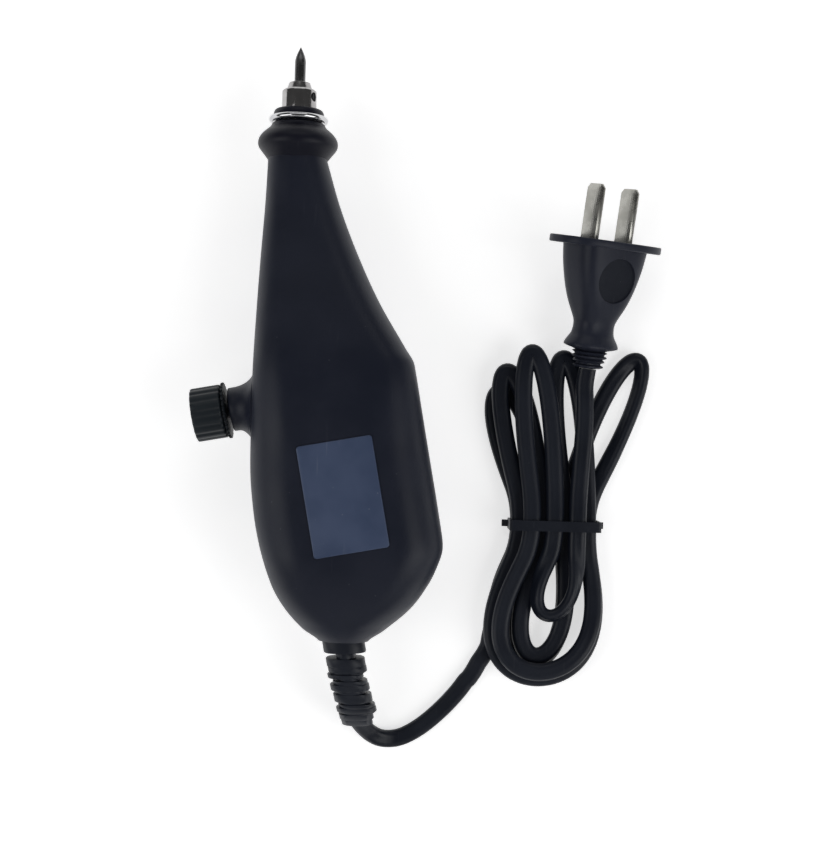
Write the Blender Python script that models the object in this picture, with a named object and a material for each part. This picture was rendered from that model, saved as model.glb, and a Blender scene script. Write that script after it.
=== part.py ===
"""Electric engraving pen with its cord tied in a hank, lying label side up on a table.

The stylus axis runs along +Y at mid thickness, +X is to the right of the label and +Z is up.
The origin is on the flat belly, straight below the stylus axis. Units are metres.
"""
import math

import bmesh
import bpy
from mathutils import Matrix, Vector

# Clearances and facets
GAP = 0.0003
OVERRUN = 0.002
RIM_STEPS = 24
SMALL_STEPS = 12
CORNER_STEPS = 5

# Housing: two moulded halves that meet at mid thickness
HOUSING_LENGTH = 0.1388
HALF_THICKNESS = 0.019
NECK_RADIUS = 0.00825
LEFT_REACH = 0.0101
RIGHT_REACH = 0.0444
TAIL_OFFSET = 0.0171
TAIL_RADIUS = 0.0064
WALL = 0.0024
BULKHEAD_THICKNESS = 0.003
BODY_BEND = math.radians(11)
SHOULDER_AHEAD = 0.0129
TAIL_ROOM = 0.0303
TAPER_SHARE = 0.43

# Station along the housing, then how far the side has grown and how far it has closed again
LEFT_SHARES = (
    (0.0, 0.0, 0.0), (0.08, 0.135, 0.0), (0.226, 0.56, 0.0), (0.374, 0.82, 0.0),
    (0.50, 0.957, 0.0), (0.60, 1.0, 0.0), (0.67, 1.0, 0.023), (0.769, 1.0, 0.126),
    (0.867, 1.0, 0.327), (0.916, 1.0, 0.513), (0.963, 1.0, 0.795), (0.987, 1.0, 0.96), (1.0, 1.0, 1.0),
)
RIGHT_SHARES = (
    (0.0, 0.0, 0.0), (0.097, 0.117, 0.0), (0.194, 0.267, 0.0), (0.292, 0.449, 0.0),
    (0.385, 0.665, 0.0), (0.41, 0.727, 0.0), (0.43, 0.747, 0.0), (0.52, 0.813, 0.0),
    (0.74, 0.975, 0.0), (0.785, 1.0, 0.008), (0.82, 1.0, 0.073), (0.856, 1.0, 0.180),
    (0.907, 1.0, 0.408), (0.958, 1.0, 0.765), (0.984, 1.0, 0.955), (1.0, 1.0, 1.0),
)
# Station, then how far the half thickness has grown and closed, then the softness of the corners
HEIGHT_SHARES = (
    (0.0, 0.0, 0.0, 0.92), (0.10, 0.12, 0.0, 0.88), (0.20, 0.34, 0.0, 0.80), (0.30, 0.62, 0.0, 0.72),
    (0.39, 0.86, 0.0, 0.60), (0.45, 0.97, 0.0, 0.54), (0.49, 1.0, 0.0, 0.50), (0.80, 1.0, 0.0, 0.50),
    (0.86, 1.0, 0.10, 0.58), (0.916, 1.0, 0.30, 0.70), (0.963, 1.0, 0.60, 0.86), (1.0, 1.0, 1.0, 0.92),
)
SHELL_STATION_SHARES = (
    0.0, 0.06, 0.12, 0.18, 0.24, 0.30, 0.35, 0.385, 0.405, 0.42, 0.44, 0.49, 0.56, 0.64, 0.72, 0.76, 0.785,
    0.81, 0.84, 0.87, 0.90, 0.925, 0.948, 0.967, 0.982, 0.993, 1.0,
)
BULKHEAD_SHARE = 0.25
WIDEST_SHARE = 0.785

# Screws that hold the halves together, driven in from the back
SCREW_RADIUS = 0.0015
SCREW_HEAD_RADIUS = 0.0028
SCREW_HEAD_HEIGHT = 0.002
SCREW_RECESS = 0.004
SCREW_BITE = 0.008
POST_RADIUS = 0.0036
FRONT_SCREW_SHARE = 0.20
SCREW_TIP_SHARE = 0.6
SLOT_WIDTH = 0.0008
SLOT_DEPTH = 0.0009

# Nose, turned about the stylus axis
SPIGOT_RADIUS = 0.0057
SPIGOT_LENGTH = 0.0088
COLLAR_LENGTH = 0.0110
COLLAR_RADIUS = 0.01165
COLLAR_FRONT_RADIUS = 0.0078
COLLAR_BULGE_SHARE = 0.42
COLLAR_BULGE_RADIUS = 0.0037
COLLAR_BULGE_ARC = math.radians(62)
RING_RADIUS = 0.0081
RING_WIRE = 0.0013
BOOT_RADIUS = 0.0072
BOOT_HEIGHT = 0.0038
BOOT_WALL = 0.0016
BUSH_RADIUS = 0.0043
BUSH_LENGTH = 0.007
BUSH_LIP = 0.0006
ROD_RADIUS = 0.0024
ROD_NECK_RADIUS = 0.0014
ROD_HEAD_LENGTH = 0.0012
CHUCK_RADIUS = 0.0049
CHUCK_TIP_RADIUS = 0.0030
CHUCK_LENGTH = 0.0105
CHUCK_CONE = 0.0020
CHUCK_SOCKET = 0.0030
CHUCK_REACH = 0.0213
NEEDLE_RADIUS = 0.00155
NEEDLE_LENGTH = 0.0175
NEEDLE_POINT = 0.0042
NEEDLE_REACH = 0.0315
NEEDLE_FULLNESS = 1.6
LOCK_SCREW_RADIUS = 0.0010
LOCK_SCREW_PROUD = 0.0005
LOCK_SCREW_SETBACK = 0.0043
LOCK_SCREW_TILT = math.radians(28)

# Electromagnet, square to the rear of the housing
CORE_CENTRE = 0.013
POLE_FACE = 0.005
CORE_STACK = 0.018
CENTRE_LEG = 0.010
SIDE_LEG = 0.006
WINDOW = 0.006
LEG_LENGTH = 0.022
YOKE = 0.008
CORE_SCREW_RADIUS = 0.0018
CORE_SCREW_HEAD_RADIUS = 0.0034
CORE_SCREW_BITE = 0.005
CORE_POST_RADIUS = 0.0042
BOBBIN_WALL = 0.001
WINDING_DEPTH = 0.0036

# Armature on its leaf spring, and the link to the stylus rod
AIR_GAP = 0.0018
ARMATURE_THICKNESS = 0.0032
ARMATURE_OVERHANG = 0.0005
LEAF_THICKNESS = 0.0006
LEAF_HEIGHT = 0.012
PIVOT_OUT = 0.031
CLAMP_LENGTH = 0.0046
CLAMP_JAW = 0.0028
CLAMP_SCREW_RADIUS = 0.0011
CLAMP_SCREW_HEAD_RADIUS = 0.0020
CLAMP_SCREW_HEAD_HEIGHT = 0.0011
RIVET_RADIUS = 0.0012
RIVET_HEAD_RADIUS = 0.0021
RIVET_HEAD_HEIGHT = 0.0008
RIVET_CROWN_SHARE = 0.7
RIVET_SPACING = 0.010
RIVET_OUT = 0.020
YOKE_HALF_WIDTH = 0.0038
YOKE_HEIGHT = 0.010
YOKE_FRONT = 0.0012
LINK_CLEARANCE = 0.0004

# Stroke adjuster on the left side
ADJUSTER_STATION = 0.0147
KNOB_RADIUS = 0.00765
KNOB_LENGTH = 0.0086
KNOB_INNER_FACE = 0.0161
KNOB_FLUTES = 18
KNOB_FLUTE_DEPTH = 0.00045
KNOB_EDGE = 0.0006
KNOB_SOCKET = 0.005
WASHER_RADIUS = 0.0083
WASHER_THICKNESS = 0.0007
BOSS_RADIUS = 0.0062
BOSS_FACE = 0.0130
BOSS_FLARE = 0.0053
BOSS_FLARE_START = 0.0127
ADJUSTER_SCREW_RADIUS = 0.0020
NUT_RADIUS = 0.0040
NUT_LENGTH = 0.0036
NUT_INNER_FACE = 0.0062
CONE_RADIUS = 0.0025
CONE_TIP_RADIUS = 0.0012
CONE_LENGTH = 0.0024
CONE_TIP = 0.0026
SPRING_COIL_RADIUS = 0.0044
SPRING_WIRE_RADIUS = 0.00035
SPRING_TURNS = 4
SPRING_POINTS = 10
SPRING_SEAT = 0.0108

# Rating label
LABEL_WIDTH = 0.0208
LABEL_LENGTH = 0.0308
LABEL_THICKNESS = 0.0004
LABEL_CORNER = 0.0015
LABEL_GAP = 0.0001
LABEL_CENTRE = (0.0141, -0.0141)

# Strain relief and the cord inside the housing
RELIEF_LENGTH = 0.0270
RELIEF_DROOP = math.radians(50)
RELIEF_RADIUS = 0.0063
RELIEF_END_RADIUS = 0.0050
RELIEF_NECK_RADIUS = 0.0029
RELIEF_COLLAR = 0.0029
RELIEF_RIBS = 6
RELIEF_STEPS = 16
RELIEF_SLOT_PART_SHARE = 0.42
RELIEF_FLANGE = 0.0022
RELIEF_PLUG_RADIUS = 0.0044
CORD_WIDTH = 0.0052
CORD_THICKNESS = 0.0031
CORD_ROUND_SHARE = 0.7
TAIL_LENGTH = 0.0115
CLAMP_BAR = (0.0134, 0.0045, 0.0025)
CORD_SCREW_SPREAD = 0.0046
CORD_SCREW_RADIUS = 0.0011
CORD_SCREW_HEAD_RADIUS = 0.0021
CORD_SCREW_BITE = 0.0045
LEAD_RADIUS = 0.0009
LEAD_SPACING = 0.0026
LEAD_WIRE_POINTS = 14

# Cord lying free: route points chosen by hand, in metres
CORD_REST = 0.00175
LEAD_ROUTE = (
    (0.0262, -0.0851, 0.0022), (0.0300, -0.0851, CORD_REST), (0.0350, -0.0829, CORD_REST),
    (0.0405, -0.0793, CORD_REST), (0.0460, -0.0743, CORD_REST), (0.0503, -0.0694, CORD_REST),
    (0.0535, -0.0650, CORD_REST),
)
LEAD_END = Vector((0.0562, -0.0607, CORD_REST))
LEAD_END_TURN = math.radians(60)
LEAD_POINTS = 30

# Hank: five turns pinched at a tied waist, three layers deep
WAIST = Vector((0.0769, -0.0191))
WAIST_HALF_RUN = 0.0060
STRAND_PITCH = 0.0065
LAYER_PITCH = 0.0038
HANK_TOP = 0.0516
HANK_BOTTOM = 0.0453
HANK_HALF_WIDTH = 0.0143
WAY_IN = ((0.0606, -0.0470), (0.0622, -0.0370))
WAY_OUT = ((0.0841, 0.0000), (0.0847, 0.0120))
WAY_POINTS = 12
LOOP_POINTS = 24
# How a loop's two sides spread from the waist and close at the tip, and where along it they change layer
LOOP_RISE_POWER = 1.5
LOOP_SWELL_POWER = 1.65
LOOP_WIDEST_SHARE = 0.415
SLOT_AT_WIDEST_SHARE = 0.615
CLIMB_START_SHARE = 0.26
CLIMB_EARLIER_SHARE = 0.06
CLIMB_RUN_SHARE = 0.20
DESCENT_START_SHARE = 0.70
TIE_THICKNESS = 0.0006
TIE_WIDTH = 0.0030
TIE_TAB = 0.0030
TIE_ROOM = 0.0006

# Each loop: slots and layers at the waist where it leaves and comes back, then its tip sideways and
# outwards, its half width, and the layer it lies in, counted in strand pitches, layers and shares
TOP_LOOP_SHARES = (
    ((-1.5, 0), (-0.5, 0), -1.12, 0.76, 0.345, 0),
    ((0.5, 0), (1.5, 0), 1.64, 0.96, 0.345, 0),
    ((-1.5, 1), (-0.5, 1), -1.04, 0.87, 0.28, 1),
    ((0.5, 1), (1.5, 1), 0.11, 0.955, 0.265, 1),
    ((-1.0, 2), (0.0, 2), -0.56, 0.98, 0.26, 2),
)
BOTTOM_LOOP_SHARES = (
    ((-0.5, 0), (0.5, 0), -0.30, 0.90, 0.46, 0),
    ((1.5, 0), (-1.5, 1), -0.26, 1.0, 1.03, 1),
    ((-0.5, 1), (0.5, 1), -0.28, 0.86, 0.44, 1),
    ((1.5, 1), (-1.0, 2), -0.26, 0.95, 0.92, 2),
    ((0.0, 2), (1.0, 2), -0.06, 0.58, 0.36, 2),
)

# Plug, rolled over onto the edge of its flange
PLUG_TAIL = Vector((0.0849, 0.0270, 0.0102))
PLUG_TURN = math.radians(7)
PLUG_PITCH = math.radians(8.6)
PLUG_ROLL = math.radians(34)
PLUG_LENGTH = 0.0368
PLUG_HALF_WIDTH = 0.0142
PLUG_HALF_DEPTH = 0.0094
FLANGE_HALF_WIDTH = 0.0181
FLANGE_HALF_DEPTH = 0.0112
FLANGE_THICKNESS = 0.0021
RECESS_RADIUS = 0.0067
RECESS_DEPTH = 0.0006
RECESS_STATION_SHARE = 0.70
PLUG_ROUNDNESS = 0.82
PLUG_STEPS = 20
BLADE_WIDTH = 0.00635
BLADE_THICKNESS = 0.0015
BLADE_SPACING = 0.0127
BLADE_LENGTH = 0.0160
BLADE_ROOT = 0.0060
BLADE_TIP = 0.0012
# Station along the plug, then the half width and the half depth there
PLUG_SHARES = (
    (0.0, 0.35, 0.46), (0.05, 0.38, 0.50), (0.11, 0.44, 0.56), (0.17, 0.45, 0.57), (0.195, 0.52, 0.66),
    (0.235, 0.55, 0.70), (0.265, 0.52, 0.66), (0.30, 0.45, 0.57), (0.37, 0.465, 0.60), (0.50, 0.63, 0.74),
    (0.63, 0.79, 0.87), (0.80, 0.91, 0.96), (0.935, 0.98, 0.98),
)

# The rear body is as long as what it holds, and the tapered front takes up the rest of the housing
CORE_WIDTH = CENTRE_LEG + 2 * WINDOW + 2 * SIDE_LEG
CORE_REAR = POLE_FACE - LEG_LENGTH - YOKE
ARMATURE_BACK = POLE_FACE + AIR_GAP
LEAF_BACK = ARMATURE_BACK + ARMATURE_THICKNESS + GAP
LEAF_FRONT = LEAF_BACK + LEAF_THICKNESS
SHOULDER = LEAF_FRONT + SHOULDER_AHEAD
TAIL_REAR = CORE_REAR - TAIL_ROOM
NECK_FRONT = TAIL_REAR + HOUSING_LENGTH
TAPER_LENGTH = NECK_FRONT - SHOULDER
NOSE_BASE = NECK_FRONT + COLLAR_LENGTH
NEEDLE_TIP = NECK_FRONT + NEEDLE_REACH
CHUCK_FRONT = NECK_FRONT + CHUCK_REACH
SWING = math.radians(1.5)


def clear_scene():
    for thing in list(bpy.data.objects):
        bpy.data.objects.remove(thing, do_unlink=True)


def material(name, colour, roughness, metallic=0.0):
    made = bpy.data.materials.new(name)
    made.use_nodes = True
    shader = made.node_tree.nodes["Principled BSDF"]
    shader.inputs["Base Color"].default_value = (*colour, 1.0)
    shader.inputs["Roughness"].default_value = roughness
    shader.inputs["Metallic"].default_value = metallic
    made.diffuse_color = (*colour, 1.0)
    return made


def empty(name, matrix):
    """An empty that marks an axis or a frame, at a world matrix."""
    made = bpy.data.objects.new(name, None)
    made.matrix_world = matrix
    bpy.context.scene.collection.objects.link(made)
    return made


def piece(name, mesh, paint, parent=None, place=Matrix()):
    """A visible sub-part, placed inside its parent's frame."""
    made = bpy.data.objects.new(name, mesh)
    made.parent = parent
    made.matrix_basis = place
    mesh.materials.append(paint)
    bpy.context.scene.collection.objects.link(made)
    return made


def helper(name, mesh, parent=None, place=Matrix()):
    """A shape that only cuts or joins another."""
    made = bpy.data.objects.new(name, mesh)
    made.parent = parent
    made.matrix_basis = place
    made.hide_render = True
    made.display_type = "WIRE"
    bpy.context.scene.collection.objects.link(made)
    return made


def combine(target, other, operation="DIFFERENCE", solver="EXACT"):
    change = target.modifiers.new(operation.title(), "BOOLEAN")
    change.operation = operation
    change.object = other
    change.solver = solver


def finished(bm, name, sharp=35):
    """The mesh of a bmesh, with its faces turned out and its flat edges kept crisp."""
    bmesh.ops.recalc_face_normals(bm, faces=bm.faces)
    mesh = bpy.data.meshes.new(name)
    bm.to_mesh(mesh)
    bm.free()
    mesh.shade_smooth()
    mesh.set_sharp_from_angle(angle=math.radians(sharp))
    return mesh


def lofted(rings, name="loft", sharp=35):
    """A closed solid through rings of equal point counts, capped at both ends."""
    bm = bmesh.new()
    rows = [[bm.verts.new(point) for point in ring] for ring in rings]
    for low, high in zip(rows, rows[1:]):
        for i in range(len(low)):
            j = (i + 1) % len(low)
            bm.faces.new((low[i], low[j], high[j], high[i]))
    bm.faces.new(rows[0])
    bm.faces.new(rows[-1])
    return finished(bm, name, sharp)


def turned(profile, steps=RIM_STEPS, name="turned", bored=False, flutes=0, flute_depth=0.0):
    """A solid of revolution about Z from (radius, height) points. A bored profile is a closed outline."""
    bm = bmesh.new()
    rows = []
    for radius, height in profile:
        if radius == 0:
            rows.append([bm.verts.new((0, 0, height))])
            continue
        row = []
        for i in range(steps):
            turn = 2 * math.pi * i / steps
            cut_in = flute_depth * (i % 2) if flutes else 0
            reach = radius - cut_in
            row.append(bm.verts.new((reach * math.cos(turn), reach * math.sin(turn), height)))
        rows.append(row)
    pairs = list(zip(rows, rows[1:]))
    if bored:
        pairs.append((rows[-1], rows[0]))
    for low, high in pairs:
        for i in range(steps):
            j = (i + 1) % steps
            if len(low) == 1:
                bm.faces.new((low[0], high[j], high[i]))
            elif len(high) == 1:
                bm.faces.new((low[i], low[j], high[0]))
            else:
                bm.faces.new((low[i], low[j], high[j], high[i]))
    return finished(bm, name)


def rod(radius, low, high, steps=SMALL_STEPS, name="rod"):
    """A plain cylinder along Z."""
    return turned(((0, low), (radius, low), (radius, high), (0, high)), steps, name)


def tube(outer, inner, low, high, steps=RIM_STEPS, name="tube"):
    return turned(((inner, low), (outer, low), (outer, high), (inner, high)), steps, name, bored=True)


def box(low, high, name="box", bevel=0.0):
    """A block between two corners, with its edges eased if a bevel is given."""
    bm = bmesh.new()
    bmesh.ops.create_cube(bm, size=1)
    size = Vector(high) - Vector(low)
    middle = (Vector(high) + Vector(low)) / 2
    bmesh.ops.scale(bm, vec=size, verts=bm.verts)
    bmesh.ops.translate(bm, vec=middle, verts=bm.verts)
    if bevel:
        bmesh.ops.bevel(bm, geom=bm.edges[:], offset=bevel, segments=1, affect="EDGES")
    return finished(bm, name)


def prism(outline, low, high, name="prism"):
    """An outline in X and Y raised between two heights."""
    return lofted([[(x, y, z) for x, y in outline] for z in (low, high)], name)


def rounded_outline(half_width, half_height, corner, steps=CORNER_STEPS):
    """A rectangle with round corners, anticlockwise from the right side."""
    points = []
    centres = ((1, 1, 0), (-1, 1, 90), (-1, -1, 180), (1, -1, 270))
    for across, up, start in centres:
        for i in range(steps + 1):
            turn = math.radians(start + 90 * i / steps)
            x = across * (half_width - corner) + corner * math.cos(turn)
            y = up * (half_height - corner) + corner * math.sin(turn)
            points.append((x, y))
    return points


def spline_value(rows, at):
    """A smooth curve through (station, value) rows, read at a station."""
    last = len(rows) - 1
    index = max(i for i in range(last) if rows[i][0] <= at or i == 0)
    (t0, v0), (t1, v1) = rows[index], rows[index + 1]
    before, after = rows[max(index - 1, 0)], rows[min(index + 2, last)]
    span = t1 - t0
    slope0 = (v1 - before[1]) / (t1 - before[0]) * span
    slope1 = (after[1] - v0) / (after[0] - t0) * span
    s = (at - t0) / span
    return (
        (2 * s**3 - 3 * s**2 + 1) * v0 + (s**3 - 2 * s**2 + s) * slope0
        + (3 * s**2 - 2 * s**3) * v1 + (s**3 - s**2) * slope1
    )


def smooth_path(points, count):
    """Evenly spaced points along a smooth curve through the given ones."""
    points = [Vector(point) for point in points]
    lengths = [0.0]
    for first, second in zip(points, points[1:]):
        lengths.append(lengths[-1] + (second - first).length)
    rows = [[(length, point[k]) for length, point in zip(lengths, points)] for k in range(3)]
    return [
        Vector([spline_value(row, lengths[-1] * i / (count - 1)) for row in rows])
        for i in range(count)
    ]


def grown(rows, start, full, end):
    """(station, size) rows from rows of (station, growth, closing)."""
    return [(row[0], start + row[1] * (full - start) + row[2] * (end - full)) for row in rows]


LEFT_SIDE = grown(LEFT_SHARES, -NECK_RADIUS, -LEFT_REACH, TAIL_OFFSET - TAIL_RADIUS)
RIGHT_SIDE = grown(RIGHT_SHARES, NECK_RADIUS, RIGHT_REACH, TAIL_OFFSET + TAIL_RADIUS)
HALF_HEIGHT = grown(HEIGHT_SHARES, NECK_RADIUS, HALF_THICKNESS, TAIL_RADIUS)
SOFTNESS = [(row[0], row[3]) for row in HEIGHT_SHARES]


def half_height(station):
    return min(spline_value(HALF_HEIGHT, station), HALF_THICKNESS)


def station_y(station):
    """World Y of a station, which counts from the neck to the shoulder and on to the tail."""
    if station < TAPER_SHARE:
        return NECK_FRONT - TAPER_LENGTH * station / TAPER_SHARE
    return SHOULDER - (SHOULDER - TAIL_REAR) * (station - TAPER_SHARE) / (1 - TAPER_SHARE)


def station_of(y):
    if y > SHOULDER:
        return TAPER_SHARE * (NECK_FRONT - y) / TAPER_LENGTH
    return TAPER_SHARE + (1 - TAPER_SHARE) * (SHOULDER - y) / (SHOULDER - TAIL_REAR)


def half_section(station, y, inset, up):
    """Half of the housing's cross-section at a station, above or below mid thickness, as a closed ring."""
    left = spline_value(LEFT_SIDE, station) + inset
    right = spline_value(RIGHT_SIDE, station) - inset
    height = half_height(station) - inset
    half_width = (right - left) / 2
    middle = (right + left) / 2
    corner = spline_value(SOFTNESS, station) * min(half_height(station), half_width + inset)
    corner = max(corner - inset, inset / 2, GAP)
    points = [(middle + half_width, 0.0)]
    for side, start in ((1, 0), (-1, 90)):
        for i in range(CORNER_STEPS + 1):
            turn = math.radians(start + 90 * i / CORNER_STEPS)
            x = middle + side * (half_width - corner) + corner * math.cos(turn)
            z = height - corner + corner * math.sin(turn)
            points.append((x, z))
    points.append((middle - half_width, 0.0))
    return [(x, y, HALF_THICKNESS + up * z) for x, z in points]


def half_loft(stations, inset, up, lift, name):
    """One half of the housing's form, or of its hollow, with its open face moved off mid thickness."""
    rings = []
    for station in stations:
        y = station_y(station)
        ring = half_section(station, y, inset, up)
        ring[0] = (ring[0][0], y, HALF_THICKNESS + up * lift)
        ring[-1] = (ring[-1][0], y, HALF_THICKNESS + up * lift)
        rings.append(ring)
    return lofted(rings, name)


def body_point(out, along, up=0.0):
    """World position of a point in the rear body's frame."""
    return BODY_FRAME @ Vector((out, along, up))


BODY_FRAME = Matrix.Translation((0, 0, HALF_THICKNESS)) @ Matrix.Rotation(BODY_BEND, 4, "Z")
STYLUS_FRAME = Matrix.Translation((0, 0, HALF_THICKNESS)) @ Matrix.Rotation(math.radians(-90), 4, "X")
ADJUSTER_PLACE = Matrix.Translation((0, ADJUSTER_STATION, 0))
ADJUSTER_FRAME = BODY_FRAME @ ADJUSTER_PLACE @ Matrix.Rotation(math.radians(90), 4, "Y")
TAIL_POINT = Vector((TAIL_OFFSET, TAIL_REAR, HALF_THICKNESS))
TAIL_TURN = Matrix.Rotation(BODY_BEND, 4, "Z") @ Matrix.Rotation(math.radians(90), 4, "X")
TAIL_FRAME = Matrix.Translation(TAIL_POINT) @ TAIL_TURN
CORE_HOLE_OUT = (CENTRE_LEG + SIDE_LEG) / 2 + WINDOW
WAIST_LIFT = TIE_THICKNESS + GAP


def housing_screw_places():
    """World X and Y of the four screws: one beside the rod, one ahead of the armature, two behind the core."""
    y = station_y(FRONT_SCREW_SHARE)
    wall_side = spline_value(RIGHT_SIDE, FRONT_SCREW_SHARE) - WALL
    beside_rod = Vector(((wall_side + ROD_RADIUS) / 2 + GAP, y))
    ahead = body_point(CORE_CENTRE + CENTRE_LEG, LEAF_FRONT + 3 * POST_RADIUS)
    behind_left = body_point(CORE_CENTRE - CORE_WIDTH / 2, CORE_REAR - 2 * POST_RADIUS)
    behind_right = body_point(CORE_CENTRE + CORE_WIDTH / 2, CORE_REAR - 2 * POST_RADIUS)
    return [beside_rod, ahead.xy, behind_left.xy, behind_right.xy]


def add_all(target, shapes, operation="DIFFERENCE"):
    """Many cuts or joins on one thin shell, where the exact solver leaves open edges."""
    for shape in shapes:
        combine(target, shape, operation, "MANIFOLD")


def housing_stations():
    """Stations of the hollow ahead of the bulkhead, and of the one behind it."""
    half_wall = BULKHEAD_THICKNESS / TAPER_LENGTH * TAPER_SHARE / 2
    front_end = BULKHEAD_SHARE - half_wall
    rear_start = BULKHEAD_SHARE + half_wall
    inside = SHELL_STATION_SHARES
    nose_wall = 2 * WALL / TAPER_LENGTH * TAPER_SHARE
    front = [s for s in inside if nose_wall + half_wall / 2 < s < front_end - half_wall]
    front = [nose_wall] + front + [front_end]
    rear = [rear_start] + [s for s in inside if s > rear_start + half_wall]
    return front, rear


def hollow(stations, up, name):
    """The space inside one half, over a run of stations, pulled in from the rounded rear."""
    rings = []
    for station in stations:
        y = station_y(station)
        ramp = max(0.0, (station - WIDEST_SHARE) / (1 - WIDEST_SHARE))
        ring = half_section(station, y + WALL * ramp, WALL, up)
        for end in (0, -1):
            ring[end] = (ring[end][0], ring[end][1], HALF_THICKNESS - up * OVERRUN)
        rings.append(ring)
    return helper(name, lofted(rings, name))


def boss_outside():
    """The knob's boss, flaring into the side of the housing."""
    profile = [(0, -BOSS_FACE), (BOSS_RADIUS - KNOB_EDGE, -BOSS_FACE), (BOSS_RADIUS, -BOSS_FACE + KNOB_EDGE)]
    for i in range(CORNER_STEPS + 1):
        turn = math.radians(90 * i / CORNER_STEPS)
        radius = BOSS_RADIUS + BOSS_FLARE * (1 - math.cos(turn))
        profile.append((radius, -BOSS_FLARE_START + BOSS_FLARE * math.sin(turn)))
    root = -BOSS_FLARE_START + BOSS_FLARE + WALL / 2
    profile += [(BOSS_RADIUS + BOSS_FLARE, root), (0, root)]
    mesh = turned(profile, RIM_STEPS)
    for vert in mesh.vertices:
        share = min(max((vert.co.z + BOSS_FLARE_START) / BOSS_FLARE, 0), 1)
        vert.co.z += share * vert.co.y * math.tan(BODY_BEND)
    return helper("boss_form", mesh, place=ADJUSTER_FRAME)


def adjuster_collar(side):
    """The round socket inside the side wall that holds the brass nut."""
    depth = -LEFT_REACH
    return helper(
        "nut_socket_form" + side,
        rod(NUT_RADIUS + WALL, depth, -NUT_INNER_FACE, RIM_STEPS),
        place=ADJUSTER_FRAME,
    )


def adjuster_bore(side):
    """One stepped bore through the boss: the spring's seat, the screw's way and the nut's socket."""
    mouth = -BOSS_FACE - OVERRUN
    nut_back = -NUT_INNER_FACE - NUT_LENGTH - GAP
    inside = -NUT_INNER_FACE + OVERRUN
    spring = SPRING_COIL_RADIUS + 2 * GAP + SPRING_WIRE_RADIUS
    screw = ADJUSTER_SCREW_RADIUS + 2 * GAP
    nut = NUT_RADIUS + GAP
    profile = (
        (0, mouth), (spring, mouth), (spring, -SPRING_SEAT), (screw, -SPRING_SEAT), (screw, nut_back),
        (nut, nut_back), (nut, inside), (0, inside),
    )
    return helper("adjuster_bore" + side, turned(profile), place=ADJUSTER_FRAME)


def nose_bores(side):
    """The stepped bore for the front bushing and the rod, and the bore for the rear bushing."""
    spigot_front = NECK_FRONT + SPIGOT_LENGTH
    bush_rear = spigot_front - BUSH_LENGTH + BUSH_LIP
    inside = NECK_FRONT - 3 * WALL
    rod_way, bush = ROD_RADIUS + 2 * GAP, BUSH_RADIUS + GAP
    profile = (
        (0, inside), (rod_way, inside), (rod_way, bush_rear), (bush, bush_rear),
        (bush, spigot_front + OVERRUN), (0, spigot_front + OVERRUN),
    )
    bulkhead = station_y(BULKHEAD_SHARE)
    low, high = bulkhead - BULKHEAD_THICKNESS, bulkhead + BULKHEAD_THICKNESS
    rear = rod(BUSH_RADIUS - BUSH_LIP + GAP, low, high, RIM_STEPS)
    return [
        helper("front_bush_bore" + side, turned(profile), STYLUS_EMPTY),
        helper("rear_bush_bore" + side, rear, STYLUS_EMPTY),
    ]


def tail_bore(side):
    """The stepped bore that grips the strain relief, square to it inside and out."""
    flange, plug, collar = RELIEF_RADIUS - BUSH_LIP + GAP, RELIEF_PLUG_RADIUS + GAP, RELIEF_RADIUS + GAP
    pocket = -WALL - RELIEF_FLANGE - OVERRUN
    profile = (
        (0, pocket), (flange, pocket), (flange, -WALL), (plug, -WALL), (plug, 0),
        (collar, 0), (collar, 2 * OVERRUN), (0, 2 * OVERRUN),
    )
    return helper("tail_bore" + side, turned(profile), TAIL_EMPTY)


def reed_pillar(up):
    """The moulded pillar that pinches the reed bracket from one side."""
    floor = HALF_THICKNESS - WALL / 2
    seat = LEAF_HEIGHT / 2 + CLAMP_JAW + GAP
    low, high = sorted((up * seat, up * floor))
    mesh = box(
        (PIVOT_OUT, LEAF_BACK - GAP - CLAMP_JAW, low),
        (PIVOT_OUT + CLAMP_LENGTH + OVERRUN, LEAF_FRONT + GAP + CLAMP_JAW, high),
    )
    return helper("reed_pillar_form", mesh, BODY_EMPTY)


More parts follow.
